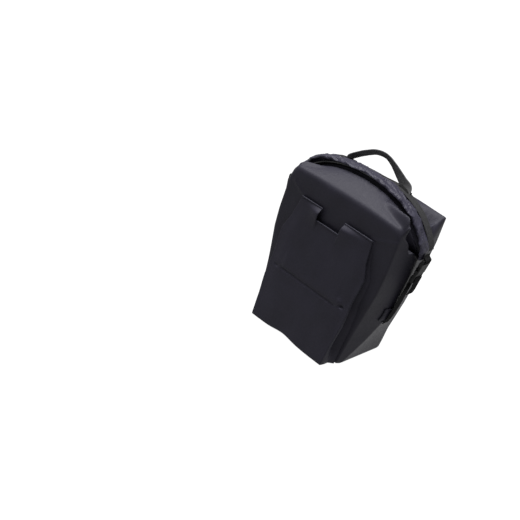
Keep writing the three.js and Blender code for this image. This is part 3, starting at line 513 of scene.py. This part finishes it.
def shell_turns():
    """Turns round the bag, with a column of points on every edge and ridge."""
    spans = [(0, 1, 44), (1, 1.5, 24), (1.5, 2, 24), (2, 4, 92), (4, 4.5, 24), (4.5, 5, 24), (5, 6, 44)]
    return np.concatenate([np.linspace(a, b, n, endpoint=False) for a, b, n in spans])


def roll_share(a):
    """Where along half the roll the fabric above turn a is gathered: 0 at the middle, 1 at the end."""
    return np.interp(a, [0, 1, 1.5, 2, 3], [0, FRONT_SHARE, 1, BACK_SHARE, 0])


def shell_grid():
    """The bag's outer face as rows of points from the middle of the base up to the mouth inside the roll."""
    turns = shell_turns()
    a, side = fold(turns)
    foot = wall(turns, np.zeros_like(turns))
    middle = np.array([0.0, foot[:, 1].mean(), 0.0])
    rows = [lerp(middle, foot, share) for share in (0.02, 0.2, 0.4, 0.6, 0.76, 0.88, 0.95)]
    rows += [wall(turns, np.full_like(turns, z)) for z in (0.0, 0.8, 2.4, 5.0, 9.0, BOTTOM_ROUND)]
    top = wall_top(turns)
    rows += [wall(turns, lerp(BOTTOM_ROUND, top, share)) for share in np.linspace(0, 1, WALL_ROWS)[1:]]
    wall_rows = len(rows)
    lower = rows[-1]
    gathered = roll_share(a)
    mouth = 0.5 + side * MOUTH_SHARE * gathered
    across = lerp(-MOUTH_HALF, MOUTH_HALF, smooth(a, 1.3, 1.7))
    upper = roll_point(mouth, across, MOUTH_UNDER)
    inward = unit(np.stack([-side * 1.0, np.zeros_like(a), np.full_like(a, -0.35)], axis=-1))
    tuck = smooth(a, 1.02, 1.16) * (1 - 0.85 * smooth(a, 1.5, 1.6)) * (1 - smooth(a, 1.7, 1.95))
    sunk = BACK_DIP * smooth(gathered, 0.2, 0.6) * smooth(a, 1.9, 2.05)
    for share in np.linspace(0, 1, TOP_ROWS)[1:]:
        row = lerp(lower, upper, share)
        hollow = math.sin(math.pi * share)
        row = row + inward * (tuck * SIDE_TUCK * hollow)[:, None]
        late = 6.75 * share**2 * (1 - share)  # a hump of height 1, two thirds of the way up
        row[:, 2] -= sunk * late - 3.0 * hollow * (a < 1)
        rows.append(row)
    for near, out in ((0.75, -16.0), (0.5, -9.0), (0.12, -1.0), (0.04, 0.0)):
        rows.append(roll_point(mouth, across * near, out))
    return np.array(rows), turns, wall_rows


def ears(grid):
    """Pinches the sloping top into a fold at each front corner, the larger one on the right."""
    grid = grid.copy()
    x, y, z = (grid[..., i] for i in range(3))
    for side, from_x, tip_x, high in EARS:
        reach = side * x
        share = np.clip((reach - from_x) / (tip_x - from_x), 0.0, 1.0)
        crest = lerp(EAR_START_Y, EAR_TIP_Y, share)
        before = 1 - smooth(crest - y, 0.0, EAR_RISE)
        recover = smooth(y - crest, 4.0, 24.0)
        behind = 1 - 1.5 * smooth(y - crest, 0.0, EAR_FALL) * (1 - recover) - recover
        profile = np.where(y < crest, before, behind)
        above = smooth(z, 345.0, 362.0) * (1 - smooth(reach, tip_x, tip_x + 3.0))
        lift = high * share**0.8 * profile * above
        grid[..., 2] += lift
        grid[..., 0] += side * EAR_OUT * lift
        gap = bump(y, EAR_GAP_Y, 9.0) * smooth(share, 0.35, 0.8) * (1 - smooth(reach, 176.0, 184.0))
        grid[..., 2] -= 1.1 * high * gap * smooth(z, 318.0, 345.0)
    return grid


def welts(grid):
    """Raises the seams that run from the pocket's upper corners across the front."""
    grid = grid.copy()
    for start, end in WELTS:
        run = np.subtract(end, start)
        offset = grid[..., [0, 2]] - start
        share = np.clip(offset @ run / (run @ run), 0.0, 1.0)
        aside = np.linalg.norm(offset - share[..., None] * run, axis=-1)
        grid[..., 1] -= WELT_HIGH * bump(aside, 0.0, WELT_WIDE) * (grid[..., 1] < FRONT + 14.0)
    return grid


def soften(grid, a, wall_rows):
    """Rounds the welded edges: a little everywhere, more at the front shoulder and the rear side's top."""
    rows = np.arange(len(grid))[:, None]
    soft = np.full(grid.shape[:2], 0.5)
    soft[-4:] = 0.1
    grid = relax(grid, soft, 3, wrap=True)
    shoulder = bump(rows, wall_rows - 1, 5.0) * (1 - smooth(a, 0.9, 1.2))
    grid = relax(grid, 0.8 * shoulder, 40, wrap=True)
    rear = bump(rows, wall_rows - 1, 14.0) * smooth(a, 1.56, 1.7) * (1 - smooth(a, 1.9, 2.0))
    return relax(grid, 0.9 * rear, 90, wrap=True)


def rumple(grid, a, wall_rows):
    """Crowns the front, and lets the fabric wander a little, with gathers in the top."""
    normal = normals_of(grid, wrap=True)
    height = np.arange(len(grid))[:, None]
    on_wall = smooth(height, 14, 40) * (1 - smooth(height, wall_rows - 30, wall_rows))
    front = on_wall * np.clip(np.cos(np.minimum(a, 1.0) * math.pi / 2), 0, 1)
    grid = grid + normal * (front * PANEL_CROWN)[..., None]
    grid = grid + normal * (waver(grid, 60.0, 1.0) * 0.9 * smooth(height, 12, 20))[..., None]
    on_top = smooth(height, wall_rows, wall_rows + 18)
    gathers = waver(grid / (7.0, 45.0, 60.0), 1.0, 9.0)
    return grid + normal * (gathers * on_top * lerp(0.5, 1.6, smooth(a, 0.8, 1.1)))[..., None]


def shell():
    """The welded bag: walls, base and the sloping top up to the rolled mouth, as one sagging shell."""
    grid, turns, wall_rows = shell_grid()
    a, _ = fold(turns)
    grid = soften(grid, a, wall_rows)
    grid = rumple(grid, a, wall_rows)
    grid = welts(ears(grid))
    x, y, z = (grid[..., i] for i in range(3))
    pressed = smooth(-x, 96.0, 160.0) * smooth(y, -70.0, -8.0) * smooth(z, 338.0, 392.0)
    grid[..., 2] -= LEFT_REAR_SINK * pressed
    grid[..., 2] = np.maximum(grid[..., 2], 0.0)
    faces = grid_faces(len(grid), grid.shape[1], wrap=True)
    faces.append(tuple(range(grid.shape[1]))[::-1])
    made = piece("bag_shell", grid.reshape(-1, 3), faces, "tarpaulin", crease=80.0)
    thicken(made, FABRIC, -1.0)
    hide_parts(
        "front_panel", "right_gusset", "left_gusset", "back_panel", "base_tray",
        "front_collar", "back_collar",
    )


# ---------------------------------------------------------------- the pocket
POCKET_TOP, POCKET_LOW = 324.0, 1.0
POCKET_DEPTH = [(POCKET_LOW, 41.0), (POCKET_TOP, 7.0)]  # how far the panel stands out, by height
# Half width of the panel by height.
POCKET_SIDE = [
    (1, 110), (60, 114), (110, 119), (150, 119), (172, 118), (234, 123), (270, 111), (POCKET_TOP, 102),
]
POCKET_THICK = 1.5
WELD = 0.4  # gap between the front panel and the welded edges on it
NOTCH_LEFT, NOTCH_RIGHT, NOTCH_LOW = -42.0, 22.0, 292.0
NOTCH_SPREAD = 3.0  # how much further right the notch's right edge is at its top
PLACE_LEFT, PLACE_RIGHT = -0.42, 0.22  # the notch's edges as places across the panel
CREASE = 148.0  # height of the fold across the pocket
# Each pinch beside the fold is its x and spread, its height above the fold and spread, and its relief.
PINCHES = [(89.0, 9.0, 15.0, 8.0, 3.0), (99.0, 5.0, 6.0, 3.2, -7.0), (-96.0, 6.0, -1.0, 4.0, -3.5)]
ARCH_X, ARCH_WIDE, ARCH_HIGH = -9.0, 36.0, 7.0  # the foot of the panel arches up here
PLEAT_OUT, PLEAT_IN = 0.22, 0.34  # how far the side walls spread and fold in, as shares of the depth
FLOOR_SHARES = (0.0, 0.35, 0.7, 0.9)  # rows of points across the floor
FLOOR_SAG = 1.5
HEM = 1.7  # radius of the rolled hem


def panel_columns():
    """Places across the pocket's panel from -1 to 1, closer at its ends, with one on each notch edge."""
    ends = [-1.0, -0.9, PLACE_LEFT, PLACE_RIGHT, 0.9, 1.0]
    counts = (12, 40, 44, 52, 12)
    spans = [np.linspace(a, b, n, endpoint=False) for a, b, n in zip(ends, ends[1:], counts)]
    return np.concatenate(spans + [[1.0]])


def panel_across(u, z):
    """The x of a place across the panel: two places stay on the notch's edges."""
    wide = along(POCKET_SIDE, z)
    right_edge = NOTCH_RIGHT + NOTCH_SPREAD * smooth(z, NOTCH_LOW, POCKET_TOP)
    left = lerp(NOTCH_LEFT, -wide, (PLACE_LEFT - u) / (1 + PLACE_LEFT))
    right = lerp(right_edge, wide, (u - PLACE_RIGHT) / (1 - PLACE_RIGHT))
    middle = lerp(NOTCH_LEFT, right_edge, (u - PLACE_LEFT) / (PLACE_RIGHT - PLACE_LEFT))
    return np.where(u < PLACE_LEFT, left, np.where(u > PLACE_RIGHT, right, middle))


def crease_relief(x, z):
    """The fold across the pocket: a groove with a swell above it, and pinches at its ends."""
    groove = -2.8 * bump(z, CREASE, 4.0)
    swell = 2.2 * smooth(z, CREASE, CREASE + 8.0) * (1 - smooth(z, CREASE + 12.0, CREASE + 70.0))
    relief = (groove + swell) * (1 - smooth(np.abs(x), 74.0, 88.0))
    for middle, wide, above, tall, out in PINCHES:
        relief = relief + out * bump(x, middle, wide) * bump(z, CREASE + above, tall)
    return relief


def panel_relief(x, z):
    """How far the pocket's panel stands out from its own leaning plane."""
    wide = along(POCKET_SIDE, z)
    inside = smooth(wide - np.abs(x), 0.0, 30.0)
    belly = 2.5 * inside * smooth(z, 20.0, 110.0) * (1 - smooth(z, 250.0, POCKET_TOP))
    left = bump(x, NOTCH_LEFT, 22.0) * (x <= NOTCH_LEFT + 0.1)
    right = bump(x, NOTCH_RIGHT, 34.0) * (x >= NOTCH_RIGHT - 0.1)
    flap = (0.22 + 1.0 * left + 0.95 * right) * inside**0.5  # the top curls out beside the notch
    curl = 8.0 * smooth(z, 268.0, 314.0) - 9.0 * smooth(z, 309.0, POCKET_TOP + 3.0) ** 1.3
    return belly + crease_relief(x, z) + flap * curl


def pleated_wall(end, side, pleat):
    """Points of the pocket's side wall at one height, from the front panel's weld to the panel's end."""
    deep = FRONT - end[1]
    seam = np.array([end[0] + side * (4.0 + PLEAT_OUT * deep), FRONT - WELD, end[2]])
    pinched = PLEAT_IN * float(smooth(end[2], 12.0, 60.0)) - 0.08
    inner = np.array([end[0] - side * pinched * deep, FRONT - PLEAT_IN * deep, end[2]])
    line = lerp(seam, inner, smooth(pleat, 0.0, 0.6) * (1 - smooth(pleat, 0.6, 1.0)))
    return lerp(line, end, smooth(pleat, 0.52, 1.0))


def pocket_grid(columns, pleat):
    """The pocket's outer face as rows of points: its floor, then its walls and panel up to the top."""
    heights = np.concatenate([np.linspace(0.0, 0.42, 58, endpoint=False), np.linspace(0.42, 1.0, 100)])
    rows = []
    for share in heights:
        level = lerp(POCKET_LOW, POCKET_TOP, share)
        x = panel_across(columns, np.full(len(columns), level))
        z = level + ARCH_HIGH * bump(x, ARCH_X, ARCH_WIDE) * (1 - smooth(share, 0.0, 0.12))
        y = FRONT - along(POCKET_DEPTH, z) - panel_relief(x, z)
        panel = np.stack([x, y, z], axis=-1)
        left, right = pleated_wall(panel[0], -1.0, pleat), pleated_wall(panel[-1], 1.0, pleat)
        rows.append(np.vstack([left, panel, right[::-1]]))
    foot = rows[0]
    back = foot * (0.98, 0.0, 0.0) + (0.0, FRONT - WELD, POCKET_LOW + 2.0)
    sag = np.array([0.0, 0.0, FLOOR_SAG])
    under = [lerp(back, foot, share) - sag * math.sin(math.pi * share) for share in FLOOR_SHARES]
    grid = np.array(under + rows)
    soft = np.full(grid.shape[:2], 0.35)
    soft[-6:] = 0.0
    grid = relax(grid, soft, 3)
    grid[..., 1] += waver(grid, 38.0, 5.0) * 0.8
    grid[..., 2] = np.maximum(grid[..., 2], WELD)
    return grid


def pocket():
    """The front pocket: a leaning panel with a finger notch, pleated walls down its sides and a floor."""
    columns = panel_columns()
    pleat = np.linspace(0.0, 1.0, 15)[:-1, None]
    grid = pocket_grid(columns, pleat)
    side_columns = len(pleat)
    open_left = side_columns + int(np.argmin(np.abs(columns - PLACE_LEFT)))
    open_right = side_columns + int(np.argmin(np.abs(columns - PLACE_RIGHT)))
    keep = np.ones((len(grid) - 1, grid.shape[1] - 1), bool)
    notch = grid[:-1, 0, 2] > NOTCH_LOW
    keep[np.ix_(notch, np.arange(open_left, open_right))] = False
    faces = grid_faces(len(grid), grid.shape[1], keep=keep)
    looks = {"finish": POCKET_FABRIC, "crease": 70.0, "outwards": False}
    made = piece("pocket_front", grid.reshape(-1, 3), faces, "tarpaulin", **looks)
    drop_loose(made)
    thicken(made, POCKET_THICK, -1.0)
    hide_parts("pocket_panel", "right_pocket_wall", "left_pocket_wall", "pocket_floor")
    top = grid[-1]
    bottom = grid[int(np.argmax(notch))]
    hem([
        top[side_columns : open_left + 1],
        top[open_right : len(top) - side_columns],
        bottom[open_left : open_right + 1],
    ])


def hem(runs):
    """The rolled hem along the pocket's upper edges and the notch."""
    points, faces = [], []
    turns = np.linspace(0, math.tau, 9)[:-1]
    for run in runs:
        tangent = unit(np.gradient(run, axis=0))
        out = unit(np.cross(tangent, np.tile([0.0, 0.0, 1.0], (len(run), 1))))
        up = np.cross(out, tangent)
        rings = [run + HEM * (math.cos(t) * out + 1.3 * math.sin(t) * up) for t in turns]
        more, its_faces = loft(np.array(rings).transpose(1, 0, 2))
        faces += [tuple(i + len(points) for i in face) for face in its_faces]
        points += list(more)
    piece("pocket_hem", np.array(points), faces, "tarpaulin", finish=POCKET_FABRIC, crease=60.0)


def drop_loose(made):
    """Removes points that no face uses."""
    shape = bmesh.new()
    shape.from_mesh(made.data)
    bmesh.ops.delete(shape, geom=[v for v in shape.verts if not v.link_faces], context="VERTS")
    shape.to_mesh(made.data)
    shape.free()


# ---------------------------------------------------------------- the rolled mouth
# The roll's section, as (across, out): its top layer hangs over the front with an undercut below.
ROLL_OUTLINE = [
    (15, -7), (18.5, -4), (19, 0), (18, 4.5), (13, 7), (2, 8.4), (-8, 8), (-15.5, 6.6), (-19.6, 3.6),
    (-19.8, 0.6), (-17.6, -0.6), (-14, 1.6), (-8, 2), (-4.6, 0), (-4, -4), (-2, -7.4), (6, -8),
]
# Outline of the near-black sheet of painted shade in the roll's undercut, as (across, out).
PAINTED_SHADE_OUTLINE = [(12, 0.5), (-8, 0.5), (-11, 0), (-7, -4), (-6, -8), (13, -7)]
ROLL_STATIONS = 300
# Folds of the rolled cloth: how often they come along the roll, slant, width, height, seed and depth.
WRINKLES = [(21.0, 0.02, 17.0, 12.0, 2.0, 7.0), (75.0, 0.05, 9.0, 9.0, 6.0, 2.0)]
PAINTED_SHADE_FIT = (0.96, 0.9)  # the painted-shade sheet's outline is made smaller by these, to stay inside the folds
HUMP, HUMP_LONG, HUMP_HIGH = 0.2, 0.11, 8.0  # share of the roll's line where it bulges upwards
BAND_HUMP, BAND_HUMP_LONG, BAND_HUMP_HIGH = 0.23, 0.09, 15.0  # the same bulge in the band behind it
BAND_WIDE, BAND_THICK = 25.0, 2.0
BAND_FROM, BAND_TO = 0.15, 0.965  # shares of the roll's line that the band runs along
# The band's near and far edges as (across from the roll's rear edge, out): behind the roll, and over it.
BAND_BEHIND = [(1.0, -2.5), (25.0, -7.0)]
BAND_LAPPED = [(-10.0, 7.5), (14.0, 6.0)]
LAP_FROM, LAP_TO = 0.5, 0.66  # shares of the roll's line between which the band moves over the roll


def closed_curve(points, count):
    """A smooth closed line through the points, evenly spaced."""
    line = smooth_line(list(points) * 2 + [points[0]], 2 * count + 1)
    return line[count // 2 : count // 2 + count]


def roll_ring(section, share):
    """One ring of the roll: its section turned and swollen a little at random, and raised at its hump."""
    twist = math.radians(-4.0 + 7.0 * noise.noise((share * 9.0, 3.0, 1.0)))
    ends = bump(share, 0, 0.03) + bump(share, 1, 0.03)
    size = 1.0 + 0.05 * noise.noise((share * 14.0, 7.0, 1.0)) - 0.16 * ends
    c, s = math.cos(twist), math.sin(twist)
    across = (section[:, 0] * c - section[:, 1] * s) * size
    out = (section[:, 0] * s + section[:, 1] * c) * size + HUMP_HIGH * bump(share, HUMP, HUMP_LONG)
    return roll_point(np.full(len(section), share), across, out)


def roll_wrinkles(section, share):
    """How deep the rolled cloth is creased: large slanting folds, and small ones on them."""
    x, y = section[:, 0], section[:, 1]
    depth = -1.6
    for often, slant, wide, tall, seed, deep in WRINKLES:
        along_roll = share * often + slant * x
        places = np.stack(np.broadcast_arrays(along_roll, x / wide, y / tall), axis=-1)
        depth = depth + deep * np.abs(waver(places, 1.0, seed))
    return depth


def rolled_mouth():
    """The bag's mouth rolled up, with the wrinkles of rolled cloth, painted paler to stand in for the light
    on it, and a near-black sheet in its undercut that paints shade.
    """
    section = closed_curve(ROLL_OUTLINE, 84)
    shares = np.linspace(0, 1, ROLL_STATIONS)
    rings = np.array([roll_ring(section, share) for share in shares.tolist()])
    away = unit(rings - roll_point(shares, 0.0, 0.0)[:, None])
    rings = rings - away * roll_wrinkles(section, shares[:, None])[..., None]
    points, faces = loft(rings)
    # Painted light: the rolled cloth takes the paler copy of the tarpaulin.
    made = piece("rolled_mouth", points, faces, "tarpaulin", finish=ROLL_LIT_FABRIC, crease=60.0)
    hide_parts("roll_closure")
    # Painted shade: a near-black sheet fills the roll's undercut so that the gap there stays black.
    inner = closed_curve(PAINTED_SHADE_OUTLINE, 40) * PAINTED_SHADE_FIT
    shares = np.linspace(0.015, 0.985, 120)
    points, faces = loft([roll_point(np.full(len(inner), t), inner[:, 0], inner[:, 1]) for t in shares])
    piece("roll_painted_shade", points, faces, "tarpaulin", finish=PAINTED_SHADE, crease=60.0)


def band_hump(share):
    """How far the band is raised, over the roll's hump."""
    return BAND_HUMP_HIGH * bump(share, BAND_HUMP, BAND_HUMP_LONG)


def closure_band():
    """The webbing that runs over the top behind the roll, and laps up over the roll's edge on the right."""
    share = np.linspace(BAND_FROM, BAND_TO, 170)
    lap = smooth(share, LAP_FROM, LAP_TO)
    edges = []
    for behind, lapped in zip(BAND_BEHIND, BAND_LAPPED):
        across, out = (lerp(a, b, lap) for a, b in zip(behind, lapped))
        edges.append(roll_point(share, ROLL_WIDE / 2 + across, out + band_hump(share)))
    near, far = edges
    looks = {"rumple": 0.5, "finish": BAND_WEBBING}
    made = webbing("closure_webbing", (near + far) / 2, far - near, BAND_WIDE, BAND_THICK, **looks)
    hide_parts("closure_band")


# ---------------------------------------------------------------- the carry handle
HANDLE_Y, HANDLE_PIVOT = -57.0, 411.0  # the line that its feet swing about
HANDLE_LEAN = math.radians(32)
HANDLE_WIDE, HANDLE_THICK = 27.0, 2.4
HANDLE_LEFT, HANDLE_RIGHT = -86.0, 77.0  # x of its feet
# Its twist in degrees by share of its length: its width runs along Y at 90, and in the loop's plane at 180.
HANDLE_TWIST = [(0, 93), (0.3, 93), (0.45, 102), (0.55, 112), (0.68, 124), (0.85, 140), (1, 172)]
# The loop as (x, height above its feet): it is higher at the left.
HANDLE_LOOP = [
    (HANDLE_LEFT, 0), (HANDLE_LEFT, 4), (-85, 8), (-75, 19), (-56, 35), (-38, 46), (-16, 50),
    (4, 45.5), (22, 37.5), (41, 28), (60, 18), (75, 10), (HANDLE_RIGHT, 5), (HANDLE_RIGHT, 0),
]
KEEPER_WIDE, KEEPER_THICK, KEEPER_HIGH = 7.0, 5.0, 4.5
TAB_WIDE, TAB_THICK, TAB_HALF = 11.0, 5.0, 0.028  # the half length is a share of the roll's line
# Each handle tab is the share of the roll's line it sits at, and how far out from that line.
HANDLE_TABS = {"right": (0.652, 7.0), "left": (0.329, -0.5)}


def leaned(points):
    """Points of the handle's own upright frame, leaned back about its feet, in the bag's frame."""
    lean = np.array(Matrix.Rotation(-HANDLE_LEAN, 3, "X"))
    return points @ lean.T + (0.0, HANDLE_Y, HANDLE_PIVOT)


def carry_handle():
    """The handle: webbing that makes a quarter-turn between its feet, with a keeper round the right one."""
    count = 200
    line = smooth_line(HANDLE_LOOP, count)
    path = np.stack([line[:, 0], np.zeros(count), line[:, 1]], axis=-1)
    tangent = unit(np.gradient(path, axis=0))
    twist = np.radians(along(HANDLE_TWIST, np.linspace(0, 1, count)))[:, None]
    side = np.stack([tangent[:, 2], np.zeros(count), -tangent[:, 0]], axis=-1)
    across = side * np.cos(twist) - ALONG_Y * np.sin(twist)
    # Painted light: the handle's webbing is painted about six times paler than the straps', standing in for
    # the light on it.
    looks = {"body": "handle", "rumple": 0.35, "finish": HANDLE_LIT_WEBBING}
    across = leaned(across) - leaned(np.zeros(3))
    made = webbing("handle_lit_webbing", leaned(path), across, HANDLE_WIDE, HANDLE_THICK, **looks)
    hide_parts("carry_handle")
    half = HANDLE_WIDE / 2 + 1.0
    places = np.linspace(HANDLE_RIGHT - half, HANDLE_RIGHT + half, 12)
    end = leaned(np.array([[x, 0.0, KEEPER_HIGH] for x in places]))
    upright = leaned(np.array([0.0, 0.0, 1.0])) - leaned(np.zeros(3))
    upright = np.tile(upright, (len(end), 1))
    webbing("handle_keeper", end, upright, KEEPER_WIDE, KEEPER_THICK, "handle", rumple=0.3)


def handle_tab(name):
    """The folded tab of webbing under one end of the handle, sewn to the band below."""
    foot, out = HANDLE_TABS[name]
    shares = np.linspace(foot - TAB_HALF, foot + TAB_HALF, 14)
    path = roll_point(shares, HANDLE_Y - RIDGE_Y, band_hump(shares) + out)
    across = np.tile(ALONG_Y, (len(path), 1))
    made = webbing(f"{name}_handle_tab_webbing", path, across, TAB_WIDE, TAB_THICK, rumple=0.3)
    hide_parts(f"{name}_handle_tab")


# ---------------------------------------------------------------- straps
STRAP_X, STRAP_Z, STRAP_TILT = 193.0, 280.0, math.radians(7.6)
STRAP_WIDE, TAB_STRAP_WIDE, STRAP_THICK = 25.0, 23.0, 1.8
# Lines of the webbing in the strap's own frame, as (outwards, up the strap).
SIDE_STRAP = [
    (-6.2, -158), (-2.6, -128), (-6, -15), (-5.6, -10.5), (-4.4, -9.2), (4.4, -9.2),
    (5.6, -10.5), (6.2, -14), (6.4, -24), (7.4, -44), (6.4, -58),
]
ROLL_TAB = [(-6.2, 46), (-1.6, 40.6), (3.4, 38), (5.2, 35.2), (5.2, 31.4), (4, 30.5), (-1.8, 30.5)]
ANCHOR_OUT = 2.0  # the patch lies this far outside the wall
ANCHOR_LOW, ANCHOR_HIGH, ANCHOR_TURN = 135.0, 168.0, 0.16


def strap_frame(points, side):
    """Points of one side's strap frame, x outwards, y across and z up the strap, in the bag's frame."""
    x, y, z = np.moveaxis(np.asarray(points, float), -1, 0)
    c, s = math.cos(STRAP_TILT), math.sin(STRAP_TILT)
    return np.stack([side * (STRAP_X + x * c + z * s), RIDGE_Y + y, STRAP_Z - x * s + z * c], axis=-1)


def strap_path(line, side, count):
    """A strap's middle line in the bag's frame, and the direction of its width."""
    path = smooth_line(line, count)
    path = strap_frame(np.stack([path[:, 0], np.zeros(count), path[:, 1]], axis=-1), side)
    return path, np.tile(ALONG_Y, (count, 1))


def side_strap(side, name):
    """The strap from its anchor on the side up through the plug, with its free end hanging."""
    path, across = strap_path(SIDE_STRAP, side, 120)
    looks = {"body": None, "rumple": 0.3}
    made = webbing(f"{name}_strap_webbing", path, across, STRAP_WIDE, STRAP_THICK, **looks)
    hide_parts(f"{name}_side_strap")
    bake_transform(made)


def strap_anchor(side, name):
    """The welded patch that holds one side strap's lower end."""
    turns = np.linspace(1.5 - ANCHOR_TURN, 1.5 + ANCHOR_TURN, 9)
    turns = turns if side > 0 else 6.0 - turns
    heights = np.linspace(ANCHOR_LOW, ANCHOR_HIGH, 8)
    grid = np.array([wall(turns, np.full(len(turns), z)) for z in heights])
    grid[..., 0] += side * ANCHOR_OUT
    faces = grid_faces(len(heights), len(turns))
    looks = {"finish": POCKET_FABRIC, "outwards": False}
    made = piece(f"{name}_anchor_patch", grid.reshape(-1, 3), faces, "tarpaulin", **looks)
    thicken(made, FABRIC, 0.0)
    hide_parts(f"{name}_strap_anchor")


def roll_tab(side, name):
    """The webbing that joins the roll's end to the buckle's socket."""
    path, across = strap_path(ROLL_TAB, side, 50)
    made = webbing(f"{name}_tab_webbing", path, across, TAB_STRAP_WIDE, STRAP_THICK, rumple=0.1)
    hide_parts(f"{name}_roll_tab")


# ---------------------------------------------------------------- hard parts
EDGE_ROUND = 0.45
FLAT_ANGLE, EDGE_ANGLE = math.radians(2), math.radians(32)  # below and above these, edges go or are rounded


def harden(name, slot):
    """Gives a CAD part its finish, and softly rounds its edges unless it is a rail."""
    part = frame["nodes"][name]
    part.data.materials.clear()
    part.data.materials.append(FINISHES[slot])
    if name.endswith("_rail"):
        return
    flat = part.modifiers.new("flat faces", "DECIMATE")
    flat.decimate_type = "DISSOLVE"
    flat.angle_limit = FLAT_ANGLE
    edge = part.modifiers.new("edges", "BEVEL")
    edge.width = EDGE_ROUND * MM
    edge.segments = 2
    edge.limit_method = "ANGLE"
    edge.angle_limit = EDGE_ANGLE
    edge.harden_normals = True


# ---------------------------------------------------------------- stage, light and camera
VIEW_AZIMUTH, VIEW_ELEVATION, VIEW_LEAN = (math.radians(d) for d in (28.3, 26.5, 20.8))
VIEW_DISTANCE = 2045.8
VIEW_CENTRE = (0.0, -85.0, 210.0)
VIEW_RIGHT, VIEW_UP = (math.radians(d) for d in (5.34, 0.38))  # the bag's middle beside the view's middle
VIEW_ANGLE = math.radians(33.1)
FLOOR_HALF = 30.0  # in metres


def camera():
    """The photo's view: fitted to the bag's own edges, with the bag a little beside the middle."""
    az, el = VIEW_AZIMUTH, VIEW_ELEVATION
    back = Vector((math.sin(az) * math.cos(el), -math.cos(az) * math.cos(el), math.sin(el)))
    right = Vector((math.cos(az), math.sin(az), 0.0))
    look = Matrix((right, back.cross(right), back))
    lean = Matrix.Rotation(-VIEW_LEAN, 3, "Z")
    aside = Vector((math.tan(VIEW_RIGHT), math.tan(VIEW_UP), -1.0))
    turn = Vector((0.0, 0.0, -1.0)).rotation_difference(aside).to_matrix()
    eye = bpy.data.cameras.new("camera")
    eye.angle = VIEW_ANGLE
    eye.clip_end = 200.0
    made = bpy.data.objects.new("camera", eye)
    made.matrix_world = (turn @ lean @ look).transposed().to_4x4()
    made.location = Vector(place(VIEW_CENTRE)) + back * VIEW_DISTANCE * MM
    bpy.context.scene.collection.objects.link(made)
    bpy.context.scene.camera = made


def floor():
    """A white sweep that glows a little, so that it stays white and without shadows under the bag."""
    half = FLOOR_HALF
    mesh = bpy.data.meshes.new("floor")
    corners = [(-half, -half, 0), (half, -half, 0), (half, half, 0), (-half, half, 0)]
    mesh.from_pydata(corners, [], [(0, 1, 2, 3)])
    settings = {"Roughness": 0.9, "Specular IOR Level": 0.1}
    glow = {"Emission Color": (1, 1, 1, 1), "Emission Strength": 1.0}
    made, tree, shader = new_material("floor", settings | glow)
    pale = ramp(tree, cloudy(tree, millimetres(tree), 600.0), grey(0.03), grey(0.034))
    tree.links.new(pale, shader.inputs["Base Color"])
    mesh.materials.append(made)
    plane = bpy.data.objects.new("floor", mesh)
    bpy.context.scene.collection.objects.link(plane)


def sun(name, energy, spread, direction):
    """Light from a direction, as wide as spread in degrees."""
    light = bpy.data.lights.new(name, "SUN")
    light.energy = energy
    light.angle = math.radians(spread)
    made = bpy.data.objects.new(name, light)
    made.rotation_euler = Vector(direction).to_track_quat("Z", "Y").to_euler()
    bpy.context.scene.collection.objects.link(made)


def lights():
    """A pale sky, a broad light from overhead and a weak one from the right."""
    world = bpy.data.worlds.new("studio")
    world.use_nodes = True
    backdrop = world.node_tree.nodes["Background"]
    backdrop.inputs["Color"].default_value = (0.95, 0.96, 1.0, 1.0)
    backdrop.inputs["Strength"].default_value = 0.3
    bpy.context.scene.world = world
    sun("overhead", 8.0, 55, (-0.3, -0.06, 0.95))
    sun("side", 1.05, 50, (0.85, 0.5, 0.2))
    bpy.context.scene.view_settings.view_transform = "Standard"


# ---------------------------------------------------------------- making it
camera()
floor()
lights()
shell()
pocket()
rolled_mouth()
closure_band()
carry_handle()
for side, name in ((1, "right"), (-1, "left")):
    side_strap(side, name)
    roll_tab(side, name)
    strap_anchor(side, name)
    handle_tab(name)
for row in frame["record"]["subparts"]:
    if not frame["nodes"][row["node"]].hide_render:
        harden(row["node"], row["material_slot"])
